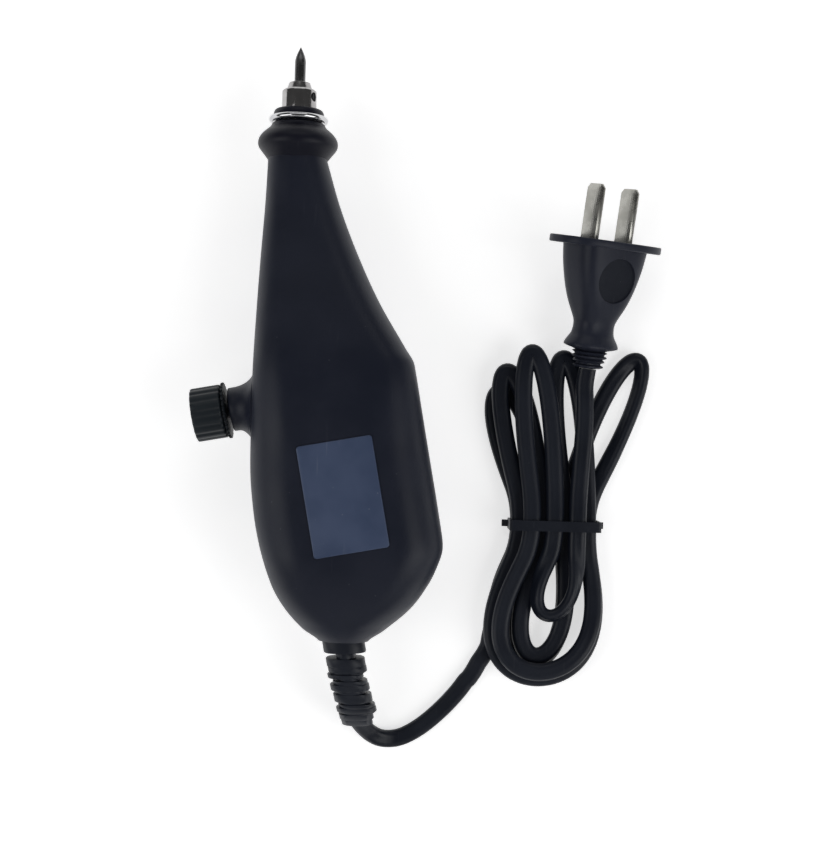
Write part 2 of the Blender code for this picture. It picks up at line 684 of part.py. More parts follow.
def make_shell(name, up, paint):
    """One half of the housing. Up is 1 for the label side and -1 for the back."""
    side = "_front" if up > 0 else "_back"
    shell = piece(name, half_loft(SHELL_STATION_SHARES, 0.0, up, -OVERRUN, name), paint)
    spigot = helper(
        "spigot_form" + side,
        rod(SPIGOT_RADIUS, NECK_FRONT - OVERRUN, NECK_FRONT + SPIGOT_LENGTH, RIM_STEPS),
        STYLUS_EMPTY,
    )
    add_all(shell, [spigot, boss_outside()], "UNION")
    front, rear = housing_stations()
    add_all(shell, [hollow(front, up, "nose_hollow" + side), hollow(rear, up, "rear_hollow" + side)])
    joins, holes = [adjuster_collar(side), reed_pillar(up)], []
    for x, y in housing_screw_places():
        height = half_height(station_of(y))
        top = HALF_THICKNESS + up * (height - WALL / 2)
        low, high = sorted((HALF_THICKNESS, top))
        joins.append(helper("post_form", rod(POST_RADIUS, low, high), place=Matrix.Translation((x, y, 0))))
        if up > 0:
            hole = rod(SCREW_RADIUS + GAP, 0, HALF_THICKNESS + SCREW_BITE + GAP)
            holes.append(helper("screw_hole", hole, place=Matrix.Translation((x, y, 0))))
        else:
            outside = HALF_THICKNESS - height
            seat = outside + SCREW_RECESS + SCREW_HEAD_HEIGHT
            hole = rod(SCREW_RADIUS + GAP, outside, HALF_THICKNESS + OVERRUN)
            recess = rod(SCREW_HEAD_RADIUS + GAP, outside - OVERRUN, seat)
            holes.append(helper("screw_hole", hole, place=Matrix.Translation((x, y, 0))))
            holes.append(helper("screw_recess", recess, place=Matrix.Translation((x, y, 0))))
    if up < 0:
        joins += core_posts() + [cord_saddle()]
        holes += core_screw_holes() + cord_screw_holes()
    add_all(shell, joins, "UNION")
    reach = RIGHT_REACH + LEFT_REACH
    far = (-reach, TAIL_REAR - reach, HALF_THICKNESS - up * reach)
    near = (2 * reach, NECK_FRONT + reach, HALF_THICKNESS + up * GAP / 2)
    low = [min(a, b) for a, b in zip(far, near)]
    high = [max(a, b) for a, b in zip(far, near)]
    other_half = helper("other_half" + side, box(low, high))
    add_all(shell, [other_half, adjuster_bore(side)] + nose_bores(side) + [tail_bore(side)] + holes)
    return shell


def core_posts():
    floor = -HALF_THICKNESS + WALL / 2
    seat = -CORE_STACK / 2 - GAP
    return [
        helper(
            "core_post_form",
            rod(CORE_POST_RADIUS, floor, seat),
            BODY_EMPTY,
            Matrix.Translation((CORE_CENTRE + sign * CORE_HOLE_OUT, CORE_REAR + YOKE / 2, 0)),
        )
        for sign in (-1, 1)
    ]


def core_screw_holes():
    seat = -CORE_STACK / 2 - GAP
    return [
        helper(
            "core_screw_hole",
            rod(CORE_SCREW_RADIUS + GAP, seat - CORE_SCREW_BITE - GAP, seat + OVERRUN),
            BODY_EMPTY,
            Matrix.Translation((CORE_CENTRE + sign * CORE_HOLE_OUT, CORE_REAR + YOKE / 2, 0)),
        )
        for sign in (-1, 1)
    ]


UPRIGHT = Matrix.Rotation(math.radians(-90), 4, "X")
TAIL_START = -WALL - 2 * GAP - RELIEF_FLANGE
BAR_CENTRE = TAIL_START - TAIL_LENGTH / 2


def cord_saddle():
    """The block on the floor of the back half that the cord is clamped to."""
    half_width, half_length = CLAMP_BAR[0] / 2, CLAMP_BAR[1] / 2
    floor = -half_height(station_of(TAIL_POINT.y - BAR_CENTRE * math.cos(BODY_BEND))) + WALL / 2
    mesh = box(
        (-half_width, floor, BAR_CENTRE - half_length),
        (half_width, -CORD_THICKNESS / 2 - GAP, BAR_CENTRE + half_length),
    )
    return helper("cord_saddle_form", mesh, TAIL_EMPTY)


def cord_screw_holes():
    seat = -CORD_THICKNESS / 2 - GAP
    return [
        helper(
            "cord_screw_hole",
            rod(CORD_SCREW_RADIUS + GAP, seat - CORD_SCREW_BITE - GAP, seat + OVERRUN),
            TAIL_EMPTY,
            Matrix.Translation((sign * CORD_SCREW_SPREAD, 0, BAR_CENTRE)) @ UPRIGHT,
        )
        for sign in (-1, 1)
    ]


def slotted_screw(radius, head_radius, head_height, length, name):
    """A cheese-head screw along Z, head on top at zero, with a slot across it."""
    bevel = head_height / 5
    profile = (
        (0, -length), (radius * SCREW_TIP_SHARE, -length), (radius, -length + radius * SCREW_TIP_SHARE),
        (radius, -head_height),
        (head_radius, -head_height), (head_radius, -bevel), (head_radius - bevel, 0), (0, 0),
    )
    return turned(profile, SMALL_STEPS, name)


def add_screw(name, radius, head_radius, head_height, length, paint, parent, place):
    screw = piece(name, slotted_screw(radius, head_radius, head_height, length, name), paint, parent, place)
    low = (-head_radius * 2, -SLOT_WIDTH / 2, -min(SLOT_DEPTH, head_height / 2))
    high = (head_radius * 2, SLOT_WIDTH / 2, OVERRUN)
    combine(screw, helper(name + "_slot", box(low, high), parent, place))
    return screw


def make_housing_screws(paint):
    flip = Matrix.Rotation(math.radians(180), 4, "X")
    for number, (x, y) in enumerate(housing_screw_places(), start=1):
        outside = HALF_THICKNESS - half_height(station_of(y))
        head_top = outside + SCREW_RECESS - GAP
        length = HALF_THICKNESS + SCREW_BITE - head_top
        place = Matrix.Translation((x, y, head_top)) @ flip
        add_screw(
            f"housing_screw_{number}", SCREW_RADIUS, SCREW_HEAD_RADIUS, SCREW_HEAD_HEIGHT, length, paint, None,
            place,
        )


def make_label(paint):
    outline = rounded_outline(LABEL_WIDTH / 2, LABEL_LENGTH / 2, LABEL_CORNER, steps=3)
    low = HALF_THICKNESS + LABEL_GAP
    mesh = prism(outline, low, low + LABEL_THICKNESS, "rating_label")
    place = Matrix.Translation((LABEL_CENTRE[0], LABEL_CENTRE[1], 0))
    piece("rating_label", mesh, paint, BODY_EMPTY, place)


def make_nose(rubber, chrome, brass):
    """Rubber collar, chrome ring, rubber boot and the two rod bushings."""
    bore = SPIGOT_RADIUS + GAP
    base, front = NECK_FRONT + GAP, NOSE_BASE
    bulge = base + COLLAR_LENGTH * COLLAR_BULGE_SHARE
    steps = CORNER_STEPS + 2
    profile = [(bore, base), (NECK_RADIUS, base)]
    for i in range(steps + 1):
        turn = COLLAR_BULGE_ARC * (2 * i / steps - 1)
        height = bulge + COLLAR_BULGE_RADIUS * math.sin(turn)
        radius = COLLAR_RADIUS - COLLAR_BULGE_RADIUS * (1 - math.cos(turn))
        profile.append((radius, height))
    profile += [(COLLAR_FRONT_RADIUS, front - BUSH_LIP), (COLLAR_FRONT_RADIUS, front), (bore, front)]
    piece("nose_collar", turned(profile, RIM_STEPS, bored=True), rubber, STYLUS_EMPTY)

    foot = front + GAP
    inside = BOOT_RADIUS - BOOT_WALL
    ring_profile = [
        (RING_RADIUS - RING_WIRE / 2 + RING_WIRE / 2 * math.cos(math.radians(45 * i)),
         foot + RING_WIRE / 2 + RING_WIRE / 2 * math.sin(math.radians(45 * i)))
        for i in range(8)
    ]
    piece("nose_ring", turned(ring_profile, RIM_STEPS, bored=True), chrome, STYLUS_EMPTY)

    groove = RING_RADIUS - RING_WIRE - GAP
    lip = CHUCK_RADIUS + GAP
    top = foot + BOOT_HEIGHT
    boot = [(inside, foot), (groove, foot), (groove, foot + RING_WIRE)]
    for i in range(1, CORNER_STEPS + 1):
        turn = math.radians(90 * i / CORNER_STEPS)
        radius = lip + BOOT_WALL / 2 + (groove - lip - BOOT_WALL / 2) * math.cos(turn)
        boot.append((radius, foot + RING_WIRE + (BOOT_HEIGHT - RING_WIRE) * math.sin(turn)))
    boot += [(lip, top), (lip, foot + BOOT_WALL / 2)]
    piece("nose_boot", turned(boot, RIM_STEPS, bored=True), rubber, STYLUS_EMPTY)

    spigot_front = NECK_FRONT + SPIGOT_LENGTH
    low = spigot_front - BUSH_LENGTH + BUSH_LIP + GAP
    bush = [
        (ROD_RADIUS + GAP, low), (BUSH_RADIUS, low), (BUSH_RADIUS, spigot_front + GAP),
        (SPIGOT_RADIUS - BUSH_LIP, spigot_front + GAP),
        (SPIGOT_RADIUS - BUSH_LIP, spigot_front + GAP + BUSH_LIP),
        (ROD_RADIUS + GAP, spigot_front + GAP + BUSH_LIP),
    ]
    piece("front_bushing", turned(bush, RIM_STEPS, bored=True), brass, STYLUS_EMPTY)

    bulkhead = station_y(BULKHEAD_SHARE)
    back, ahead = bulkhead - BULKHEAD_THICKNESS / 2, bulkhead + BULKHEAD_THICKNESS / 2
    body = BUSH_RADIUS - BUSH_LIP
    bush = [
        (ROD_RADIUS + GAP, back - BUSH_LIP - GAP), (BUSH_RADIUS, back - BUSH_LIP - GAP),
        (BUSH_RADIUS, back - GAP),
        (body, back - GAP), (body, ahead + GAP), (BUSH_RADIUS, ahead + GAP),
        (BUSH_RADIUS, ahead + GAP + BUSH_LIP), (ROD_RADIUS + GAP, ahead + GAP + BUSH_LIP),
    ]
    piece("rear_bushing", turned(bush, RIM_STEPS, bored=True), brass, STYLUS_EMPTY)


def link_front():
    """Height along the stylus axis of the link's front plate."""
    return rod_rear() + ROD_HEAD_LENGTH + LINK_CLEARANCE


def rod_rear():
    """Rear face of the rod, just ahead of the leaf spring, whose front face leans across the stylus axis."""
    lean = YOKE_HALF_WIDTH * math.tan(BODY_BEND)
    return LEAF_FRONT / math.cos(BODY_BEND) + lean + LINK_CLEARANCE + YOKE_FRONT / 2


def make_stylus(steel, carbide, dark):
    """The rod, the chuck and the needle, which slide together, and the screw that locks the needle."""
    rear = rod_rear()
    neck_start = rear + ROD_HEAD_LENGTH
    neck_end = neck_start + YOKE_FRONT + 2 * LINK_CLEARANCE
    chuck_rear = CHUCK_FRONT - CHUCK_LENGTH
    rod_front = chuck_rear + CHUCK_SOCKET - GAP
    profile = (
        (0, rear), (ROD_RADIUS, rear), (ROD_RADIUS, neck_start), (ROD_NECK_RADIUS, neck_start),
        (ROD_NECK_RADIUS, neck_end), (ROD_RADIUS, neck_end), (ROD_RADIUS, rod_front), (0, rod_front),
    )
    piece("drive_rod", turned(profile, RIM_STEPS), steel, SLIDE_EMPTY)

    socket = chuck_rear + CHUCK_SOCKET
    edge = CHUCK_CONE / 3
    chuck = (
        (ROD_RADIUS + GAP, chuck_rear), (CHUCK_RADIUS, chuck_rear),
        (CHUCK_RADIUS, CHUCK_FRONT - CHUCK_CONE - edge), (CHUCK_RADIUS - edge, CHUCK_FRONT - CHUCK_CONE),
        (CHUCK_TIP_RADIUS, CHUCK_FRONT), (NEEDLE_RADIUS + GAP, CHUCK_FRONT),
        (NEEDLE_RADIUS + GAP, socket), (ROD_RADIUS + GAP, socket),
    )
    chuck_piece = piece("chuck", turned(chuck, RIM_STEPS, bored=True), steel, SLIDE_EMPTY)
    screw_hole = rod(LOCK_SCREW_RADIUS + GAP, 0, CHUCK_RADIUS * 2)
    combine(chuck_piece, helper("lock_screw_hole", screw_hole, LOCK_EMPTY))

    point = [(0, NEEDLE_TIP - NEEDLE_LENGTH), (NEEDLE_RADIUS, NEEDLE_TIP - NEEDLE_LENGTH)]
    for i in range(CORNER_STEPS):
        part = i / CORNER_STEPS
        point.append((NEEDLE_RADIUS * (1 - part**NEEDLE_FULLNESS), NEEDLE_TIP - NEEDLE_POINT * (1 - part)))
    point.append((0, NEEDLE_TIP))
    piece("needle", turned(point, SMALL_STEPS), carbide, SLIDE_EMPTY)

    low, high = NEEDLE_RADIUS + GAP, CHUCK_RADIUS + LOCK_SCREW_PROUD
    lock = piece("needle_lock_screw", rod(LOCK_SCREW_RADIUS, low, high), dark, LOCK_EMPTY)
    half_slot = SLOT_WIDTH / 4
    slot = box((-CHUCK_RADIUS, -half_slot, high - SLOT_DEPTH / 2), (CHUCK_RADIUS, half_slot, high + OVERRUN))
    combine(lock, helper("lock_screw_slot", slot, LOCK_EMPTY))


def make_magnet(iron, plastic, copper, steel):
    """The E-shaped core with its coil, and the two screws that hold it down."""
    half = CORE_WIDTH / 2
    leg_back = POLE_FACE - LEG_LENGTH
    inner, window = CENTRE_LEG / 2, CENTRE_LEG / 2 + WINDOW
    outline = [
        (-half, CORE_REAR), (half, CORE_REAR), (half, POLE_FACE), (window, POLE_FACE), (window, leg_back),
        (inner, leg_back), (inner, POLE_FACE), (-inner, POLE_FACE), (-inner, leg_back), (-window, leg_back),
        (-window, POLE_FACE), (-half, POLE_FACE),
    ]
    centre = Matrix.Translation((CORE_CENTRE, 0, 0))
    core = piece(
        "magnet_core", prism(outline, -CORE_STACK / 2, CORE_STACK / 2, "magnet_core"), iron, BODY_EMPTY, centre
    )
    head_height = CORE_SCREW_RADIUS
    seat = CORE_STACK / 2 + GAP
    for side, sign in (("left", -1), ("right", 1)):
        place = Matrix.Translation((CORE_CENTRE + sign * CORE_HOLE_OUT, CORE_REAR + YOKE / 2, 0))
        hole = rod(CORE_SCREW_RADIUS + GAP, -CORE_STACK, CORE_STACK)
        combine(core, helper("core_hole_" + side, hole, BODY_EMPTY, place))
        add_screw(
            "core_screw_" + side, CORE_SCREW_RADIUS, CORE_SCREW_HEAD_RADIUS, head_height,
            CORE_STACK + 2 * GAP + CORE_SCREW_BITE + head_height, steel, BODY_EMPTY,
            place @ Matrix.Translation((0, 0, seat + head_height)),
        )

    back, front = leg_back + GAP, POLE_FACE - 2 * GAP
    bore_x, bore_z = inner + GAP, CORE_STACK / 2 + GAP
    barrel_x, barrel_z = bore_x + BOBBIN_WALL, bore_z + BOBBIN_WALL
    flange_x, flange_z = barrel_x + WINDING_DEPTH + GAP, barrel_z + WINDING_DEPTH + GAP
    barrel = box((-barrel_x, back, -barrel_z), (barrel_x, front, barrel_z))
    bobbin = piece("coil_bobbin", barrel, plastic, BODY_EMPTY, centre)
    for number, low in enumerate((back, front - BOBBIN_WALL)):
        mesh = box((-flange_x, low, -flange_z), (flange_x, low + BOBBIN_WALL, flange_z))
        combine(bobbin, helper(f"bobbin_flange_{number}", mesh, BODY_EMPTY, centre), "UNION")
    bore = box((-bore_x, back - OVERRUN, -bore_z), (bore_x, front + OVERRUN, bore_z))
    combine(bobbin, helper("bobbin_bore", bore, BODY_EMPTY, centre))

    low, high = back + BOBBIN_WALL + GAP, front - BOBBIN_WALL - GAP
    outline = rounded_outline(barrel_x + WINDING_DEPTH, barrel_z + WINDING_DEPTH, WINDING_DEPTH)
    to_leg = Matrix.Translation((CORE_CENTRE, 0, 0)) @ Matrix.Rotation(math.radians(-90), 4, "X")
    winding = piece("coil_winding", prism(outline, low, high, "coil_winding"), copper, BODY_EMPTY, to_leg)
    way_x, way_z = barrel_x + GAP, barrel_z + GAP
    hole = box((-way_x, -way_z, low - OVERRUN), (way_x, way_z, high + OVERRUN))
    combine(winding, helper("winding_bore", hole, BODY_EMPTY, to_leg))


def make_armature(iron, spring_steel, steel):
    """The armature riveted to its leaf spring, the bracket that clamps the spring, and the rod's link."""
    left = CORE_CENTRE - CORE_WIDTH / 2 - ARMATURE_OVERHANG - PIVOT_OUT
    right = CORE_CENTRE + CORE_WIDTH / 2 - GAP - PIVOT_OUT
    back = ARMATURE_BACK - LEAF_BACK
    half = CORE_STACK / 2
    form = box((left, back, -half), (right, back + ARMATURE_THICKNESS, half), bevel=GAP)
    plate = piece("armature", form, iron, SWING_EMPTY)
    leaf_half = LEAF_HEIGHT / 2
    leaf_right = CLAMP_LENGTH - GAP
    form = box((left + WALL, 0, -leaf_half), (leaf_right, LEAF_THICKNESS, leaf_half))
    leaf = piece("leaf_spring", form, spring_steel, SWING_EMPTY)
    forward = Matrix.Rotation(math.radians(-90), 4, "X")
    for number, out in enumerate((RIVET_OUT - PIVOT_OUT, RIVET_OUT - RIVET_SPACING - PIVOT_OUT), start=1):
        place = Matrix.Translation((out, 0, 0)) @ forward
        hole = rod(RIVET_RADIUS + GAP, back - OVERRUN, LEAF_THICKNESS + OVERRUN)
        combine(plate, helper(f"armature_hole_{number}", hole, SWING_EMPTY, place))
        combine(leaf, helper(f"leaf_hole_{number}", hole, SWING_EMPTY, place))
        top = LEAF_THICKNESS + GAP
        profile = (
            (0, back + GAP), (RIVET_RADIUS, back + GAP), (RIVET_RADIUS, top), (RIVET_HEAD_RADIUS, top),
            (RIVET_HEAD_RADIUS * RIVET_CROWN_SHARE, top + RIVET_HEAD_HEIGHT), (0, top + RIVET_HEAD_HEIGHT),
        )
        piece(f"armature_rivet_{number}", turned(profile, SMALL_STEPS), steel, SWING_EMPTY, place)

    jaw_back, jaw_front = LEAF_BACK - GAP - CLAMP_JAW, LEAF_FRONT + GAP + CLAMP_JAW
    height = leaf_half + CLAMP_JAW
    bracket = piece(
        "reed_bracket",
        box((PIVOT_OUT, jaw_back, -height), (PIVOT_OUT + CLAMP_LENGTH, jaw_front, height), bevel=GAP),
        steel,
        BODY_EMPTY,
    )
    window = box(
        (PIVOT_OUT - OVERRUN, LEAF_BACK - GAP, -leaf_half - GAP),
        (PIVOT_OUT + CLAMP_LENGTH + OVERRUN, LEAF_FRONT + GAP, leaf_half + GAP),
    )
    combine(bracket, helper("reed_window", window, BODY_EMPTY))
    head_radius, head_height = CLAMP_SCREW_HEAD_RADIUS, CLAMP_SCREW_HEAD_HEIGHT
    for number, sign in ((1, -1), (2, 1)):
        out, up = PIVOT_OUT + CLAMP_LENGTH / 2, sign * LEAF_HEIGHT / 4
        hole = rod(CLAMP_SCREW_RADIUS + GAP, jaw_back - OVERRUN, jaw_front + OVERRUN)
        through = Matrix.Translation((out, 0, up)) @ forward
        combine(bracket, helper(f"clamp_hole_{number}", hole, BODY_EMPTY, through))
        combine(leaf, helper(f"leaf_clamp_hole_{number}", hole, BODY_EMPTY, through))
        head_top = jaw_front + GAP + head_height
        place = Matrix.Translation((out, head_top, up)) @ forward
        length = head_top - jaw_back - GAP
        add_screw(
            f"reed_screw_{number}", CLAMP_SCREW_RADIUS, head_radius, head_height, length, steel, BODY_EMPTY,
            place,
        )

    front = link_front() + YOKE_FRONT
    slope = math.tan(BODY_BEND)
    leaf_line = (LEAF_FRONT + GAP) / math.cos(BODY_BEND)
    outline = [
        (YOKE_HALF_WIDTH, leaf_line + slope * YOKE_HALF_WIDTH), (YOKE_HALF_WIDTH, front),
        (-YOKE_HALF_WIDTH, front), (-YOKE_HALF_WIDTH, leaf_line - slope * YOKE_HALF_WIDTH),
    ]
    outline = [Vector((x, y)) for x, y in outline]
    to_swing = SWING_EMPTY.matrix_world.inverted() @ Matrix.Translation((0, 0, HALF_THICKNESS))
    form = prism(outline, -YOKE_HEIGHT / 2, YOKE_HEIGHT / 2, "rod_link")
    link = piece("rod_link", form, steel, SWING_EMPTY, to_swing)
    room = ROD_RADIUS + LINK_CLEARANCE
    head_room = box(
        (-room, rod_rear() - LINK_CLEARANCE, -room), (room, link_front(), YOKE_HEIGHT)
    )
    neck = ROD_NECK_RADIUS + LINK_CLEARANCE
    neck_room = box((-neck, rod_rear(), -neck), (neck, front + OVERRUN, YOKE_HEIGHT))
    combine(link, helper("link_head_room", head_room, SWING_EMPTY, to_swing))
    combine(link, helper("link_neck_room", neck_room, SWING_EMPTY, to_swing))


def make_adjuster(plastic, steel, brass):
    """The knob on its screw, the nut in the wall, the lock spring and the cone that limits the armature."""
    nut_back = -NUT_INNER_FACE - NUT_LENGTH
    bore = ADJUSTER_SCREW_RADIUS + GAP
    piece("adjuster_nut", tube(NUT_RADIUS, bore, nut_back, -NUT_INNER_FACE), brass, ADJUSTER_EMPTY)

    cone_base = -CONE_TIP - CONE_LENGTH
    cone = (
        (0, cone_base), (CONE_RADIUS, cone_base), (CONE_RADIUS, cone_base + CONE_LENGTH / 4),
        (CONE_TIP_RADIUS, -CONE_TIP), (0, -CONE_TIP),
    )
    piece("stop_cone", turned(cone, RIM_STEPS), brass, TRAVEL_EMPTY)

    head = -KNOB_INNER_FACE - KNOB_SOCKET + GAP
    piece("adjuster_screw", rod(ADJUSTER_SCREW_RADIUS, head, cone_base - GAP, RIM_STEPS), steel, KNOB_EMPTY)

    outer = -KNOB_INNER_FACE - KNOB_LENGTH
    socket = -KNOB_INNER_FACE - KNOB_SOCKET
    knob = (
        (0, outer), (KNOB_RADIUS - KNOB_EDGE, outer), (KNOB_RADIUS, outer + KNOB_EDGE),
        (KNOB_RADIUS, -KNOB_INNER_FACE - KNOB_EDGE), (KNOB_RADIUS - KNOB_EDGE, -KNOB_INNER_FACE),
        (0, -KNOB_INNER_FACE),
    )
    mesh = turned(knob, 2 * KNOB_FLUTES, flutes=KNOB_FLUTES, flute_depth=KNOB_FLUTE_DEPTH)
    knob_piece = piece("knob", mesh, plastic, KNOB_EMPTY)
    hole = rod(ADJUSTER_SCREW_RADIUS + GAP, socket, -KNOB_INNER_FACE + OVERRUN)
    combine(knob_piece, helper("knob_socket", hole, KNOB_EMPTY))

    near = -KNOB_INNER_FACE + GAP
    washer = tube(WASHER_RADIUS, bore, near, near + WASHER_THICKNESS)
    piece("knob_washer", washer, steel, KNOB_EMPTY)

    start = near + WASHER_THICKNESS + GAP + SPRING_WIRE_RADIUS
    end = -SPRING_SEAT - GAP - SPRING_WIRE_RADIUS
    count = SPRING_TURNS * SPRING_POINTS
    points = []
    for i in range(count + 1):
        turn = 2 * math.pi * i / SPRING_POINTS
        height = start + (end - start) * i / count
        points.append((SPRING_COIL_RADIUS * math.cos(turn), SPRING_COIL_RADIUS * math.sin(turn), height))
    wire = round_tube("knob_spring", points, SPRING_WIRE_RADIUS, steel, 1)
    wire.parent = ADJUSTER_EMPTY


def round_tube(name, points, radius, paint, resolution):
    """A round tube along the points."""
    curve = bpy.data.curves.new(name, "CURVE")
    curve.dimensions = "3D"
    curve.bevel_depth = radius
    curve.bevel_resolution = resolution
    curve.use_fill_caps = True
    set_points(curve, points)
    curve.materials.append(paint)
    made = bpy.data.objects.new(name, curve)
    bpy.context.scene.collection.objects.link(made)
    return made


def set_points(curve, points, cyclic=False):
    spline = curve.splines.new("POLY")
    spline.points.add(len(points) - 1)
    for knot, point in zip(spline.points, points):
        knot.co = (*point, 1.0)
    spline.use_cyclic_u = cyclic


def flat_tube(name, points, paint):
    """A flat twin cord along the points, its wide side level."""
    half_width, half_height = CORD_WIDTH / 2, CORD_THICKNESS / 2
    flat = half_width - half_height * CORD_ROUND_SHARE
    outline = [
        (half_width, 0, 0), (flat, -half_height, 0), (-flat, -half_height, 0),
        (-half_width, 0, 0), (-flat, half_height, 0), (flat, half_height, 0),
    ]
    section_curve = bpy.data.curves.new(name + "_section", "CURVE")
    section_curve.dimensions = "3D"
    set_points(section_curve, outline, cyclic=True)
    section = bpy.data.objects.new(name + "_section", section_curve)
    section.hide_render = True
    section.display_type = "WIRE"
    bpy.context.scene.collection.objects.link(section)
    curve = bpy.data.curves.new(name, "CURVE")
    curve.dimensions = "3D"
    curve.twist_mode = "Z_UP"
    curve.bevel_mode = "OBJECT"
    curve.bevel_object = section
    curve.use_fill_caps = True
    set_points(curve, points)
    curve.materials.append(paint)
    made = bpy.data.objects.new(name, curve)
    bpy.context.scene.collection.objects.link(made)
    return made


def relief_point(distance):
    """Place and heading of the strain relief at a distance from the tail, as it sags under the cord."""
    rear = Vector((math.sin(BODY_BEND), -math.cos(BODY_BEND), 0))
    down = Vector((0, 0, -1))
    bend = RELIEF_DROOP * max(distance, 0) / RELIEF_LENGTH
    radius = RELIEF_LENGTH / RELIEF_DROOP
    point = TAIL_POINT + rear * min(distance, 0)
    point += rear * radius * math.sin(bend) + down * radius * (1 - math.cos(bend))
    return point, rear * math.cos(bend) + down * math.sin(bend)


def make_relief(rubber):
    """The moulded strain relief: a flange inside the wall, a collar outside it, and ribs with slots."""
    rows = [(TAIL_START + GAP, RELIEF_RADIUS - BUSH_LIP, RELIEF_RADIUS - BUSH_LIP)]
    rows.append((-WALL - GAP, RELIEF_RADIUS - BUSH_LIP, RELIEF_RADIUS - BUSH_LIP))
    rows.append((-WALL - GAP, RELIEF_PLUG_RADIUS, RELIEF_PLUG_RADIUS))
    rows.append((GAP, RELIEF_PLUG_RADIUS, RELIEF_PLUG_RADIUS))
    rows.append((GAP, RELIEF_RADIUS, RELIEF_RADIUS))
    rows.append((RELIEF_COLLAR, RELIEF_RADIUS, RELIEF_RADIUS))
    pitch = (RELIEF_LENGTH - RELIEF_COLLAR) / RELIEF_RIBS
    for rib in range(RELIEF_RIBS):
        start = RELIEF_COLLAR + rib * pitch
        end = start + pitch
        wide = RELIEF_RADIUS + (RELIEF_END_RADIUS - RELIEF_RADIUS) * (rib + 1) / RELIEF_RIBS
        slot_end = start + pitch * RELIEF_SLOT_PART_SHARE
        across, upright = RELIEF_NECK_RADIUS, wide - GAP
        if rib % 2:
            across, upright = upright, across
        rows += [(start, across, upright), (slot_end, across, upright)]
        rows += [(slot_end, wide, wide), (end, wide, wide)]
    side = Vector((math.cos(BODY_BEND), math.sin(BODY_BEND), 0))
    rings = []
    for distance, across, upright in rows:
        point, heading = relief_point(distance)
        up = side.cross(heading)
        turns = [2 * math.pi * i / RELIEF_STEPS for i in range(RELIEF_STEPS)]
        ring = [point + side * across * math.cos(turn) - up * upright * math.sin(turn) for turn in turns]
        rings.append(ring)
    piece("strain_relief", lofted(rings, "strain_relief"), rubber)


def make_cord_ends(rubber, plastic, steel, red, blue):
    """The cord inside the tail, the bar and screws that grip it, and its two leads to the coil."""
    half_width, half_height = CORD_WIDTH / 2, CORD_THICKNESS / 2
    outline = rounded_outline(half_width, half_height, half_height * CORD_ROUND_SHARE, steps=2)
    tail_end = TAIL_START - TAIL_LENGTH
    piece("cord_tail", prism(outline, tail_end, TAIL_START, "cord_tail"), rubber, TAIL_EMPTY)
    length, width, height = CLAMP_BAR
    low = half_height + GAP
    near, far = BAR_CENTRE - width / 2, BAR_CENTRE + width / 2
    bar = box((-length / 2, low, near), (length / 2, low + height, far), bevel=GAP)
    bar_piece = piece("cord_clamp", bar, plastic, TAIL_EMPTY)
    head_height = CORD_SCREW_RADIUS
    for side, sign in (("left", -1), ("right", 1)):
        upright = Matrix.Translation((sign * CORD_SCREW_SPREAD, 0, BAR_CENTRE)) @ UPRIGHT
        hole = rod(CORD_SCREW_RADIUS + GAP, low - OVERRUN, low + height + OVERRUN)
        combine(bar_piece, helper("clamp_bar_hole_" + side, hole, TAIL_EMPTY, upright))
        head_top = low + height + GAP + head_height
        length_down = head_top + half_height + GAP + CORD_SCREW_BITE
        add_screw(
            "cord_screw_" + side, CORD_SCREW_RADIUS, CORD_SCREW_HEAD_RADIUS, head_height, length_down, steel,
            TAIL_EMPTY, upright @ Matrix.Translation((0, 0, head_top)),
        )
    over_core = CORE_STACK / 2 + 2 * LEAD_RADIUS + 2 * GAP
    coil_face = POLE_FACE - LEG_LENGTH - GAP
    for side, sign, paint in (("left", -1, red), ("right", 1, blue)):
        start = TAIL_EMPTY.matrix_world @ Vector((sign * LEAD_SPACING / 2, 0, tail_end - GAP))
        over_edge = body_point(CORE_CENTRE + sign * LEAD_SPACING, CORE_REAR - WALL, over_core)
        heading = TAIL_EMPTY.matrix_world.to_3x3() @ Vector((0, 0, -1))
        route = [
            start, start + heading * (over_edge - start).xy.length / 3, over_edge,
            body_point(CORE_CENTRE + sign * LEAD_SPACING, CORE_REAR + YOKE / 3, over_core),
            body_point(CORE_CENTRE + sign * LEAD_SPACING, coil_face, over_core),
        ]
        round_tube("lead_wire_" + side, smooth_path(route, LEAD_WIRE_POINTS), LEAD_RADIUS, paint, 1)


def lead_points():
    start, heading = relief_point(RELIEF_LENGTH)
    end_heading = Vector((math.cos(LEAD_END_TURN), math.sin(LEAD_END_TURN), 0))
    route = [start + heading * (GAP + CORD_WIDTH)]
    route += [Vector(point) for point in LEAD_ROUTE]
    route += [LEAD_END - end_heading * CORD_WIDTH]
    return [start + heading * GAP] + smooth_path(route, LEAD_POINTS - 2) + [LEAD_END], end_heading


def layer_height(layer):
    return CORD_REST + layer * LAYER_PITCH


def eased(value):
    value = min(max(value, 0.0), 1.0)
    return value * value * (3 - 2 * value)


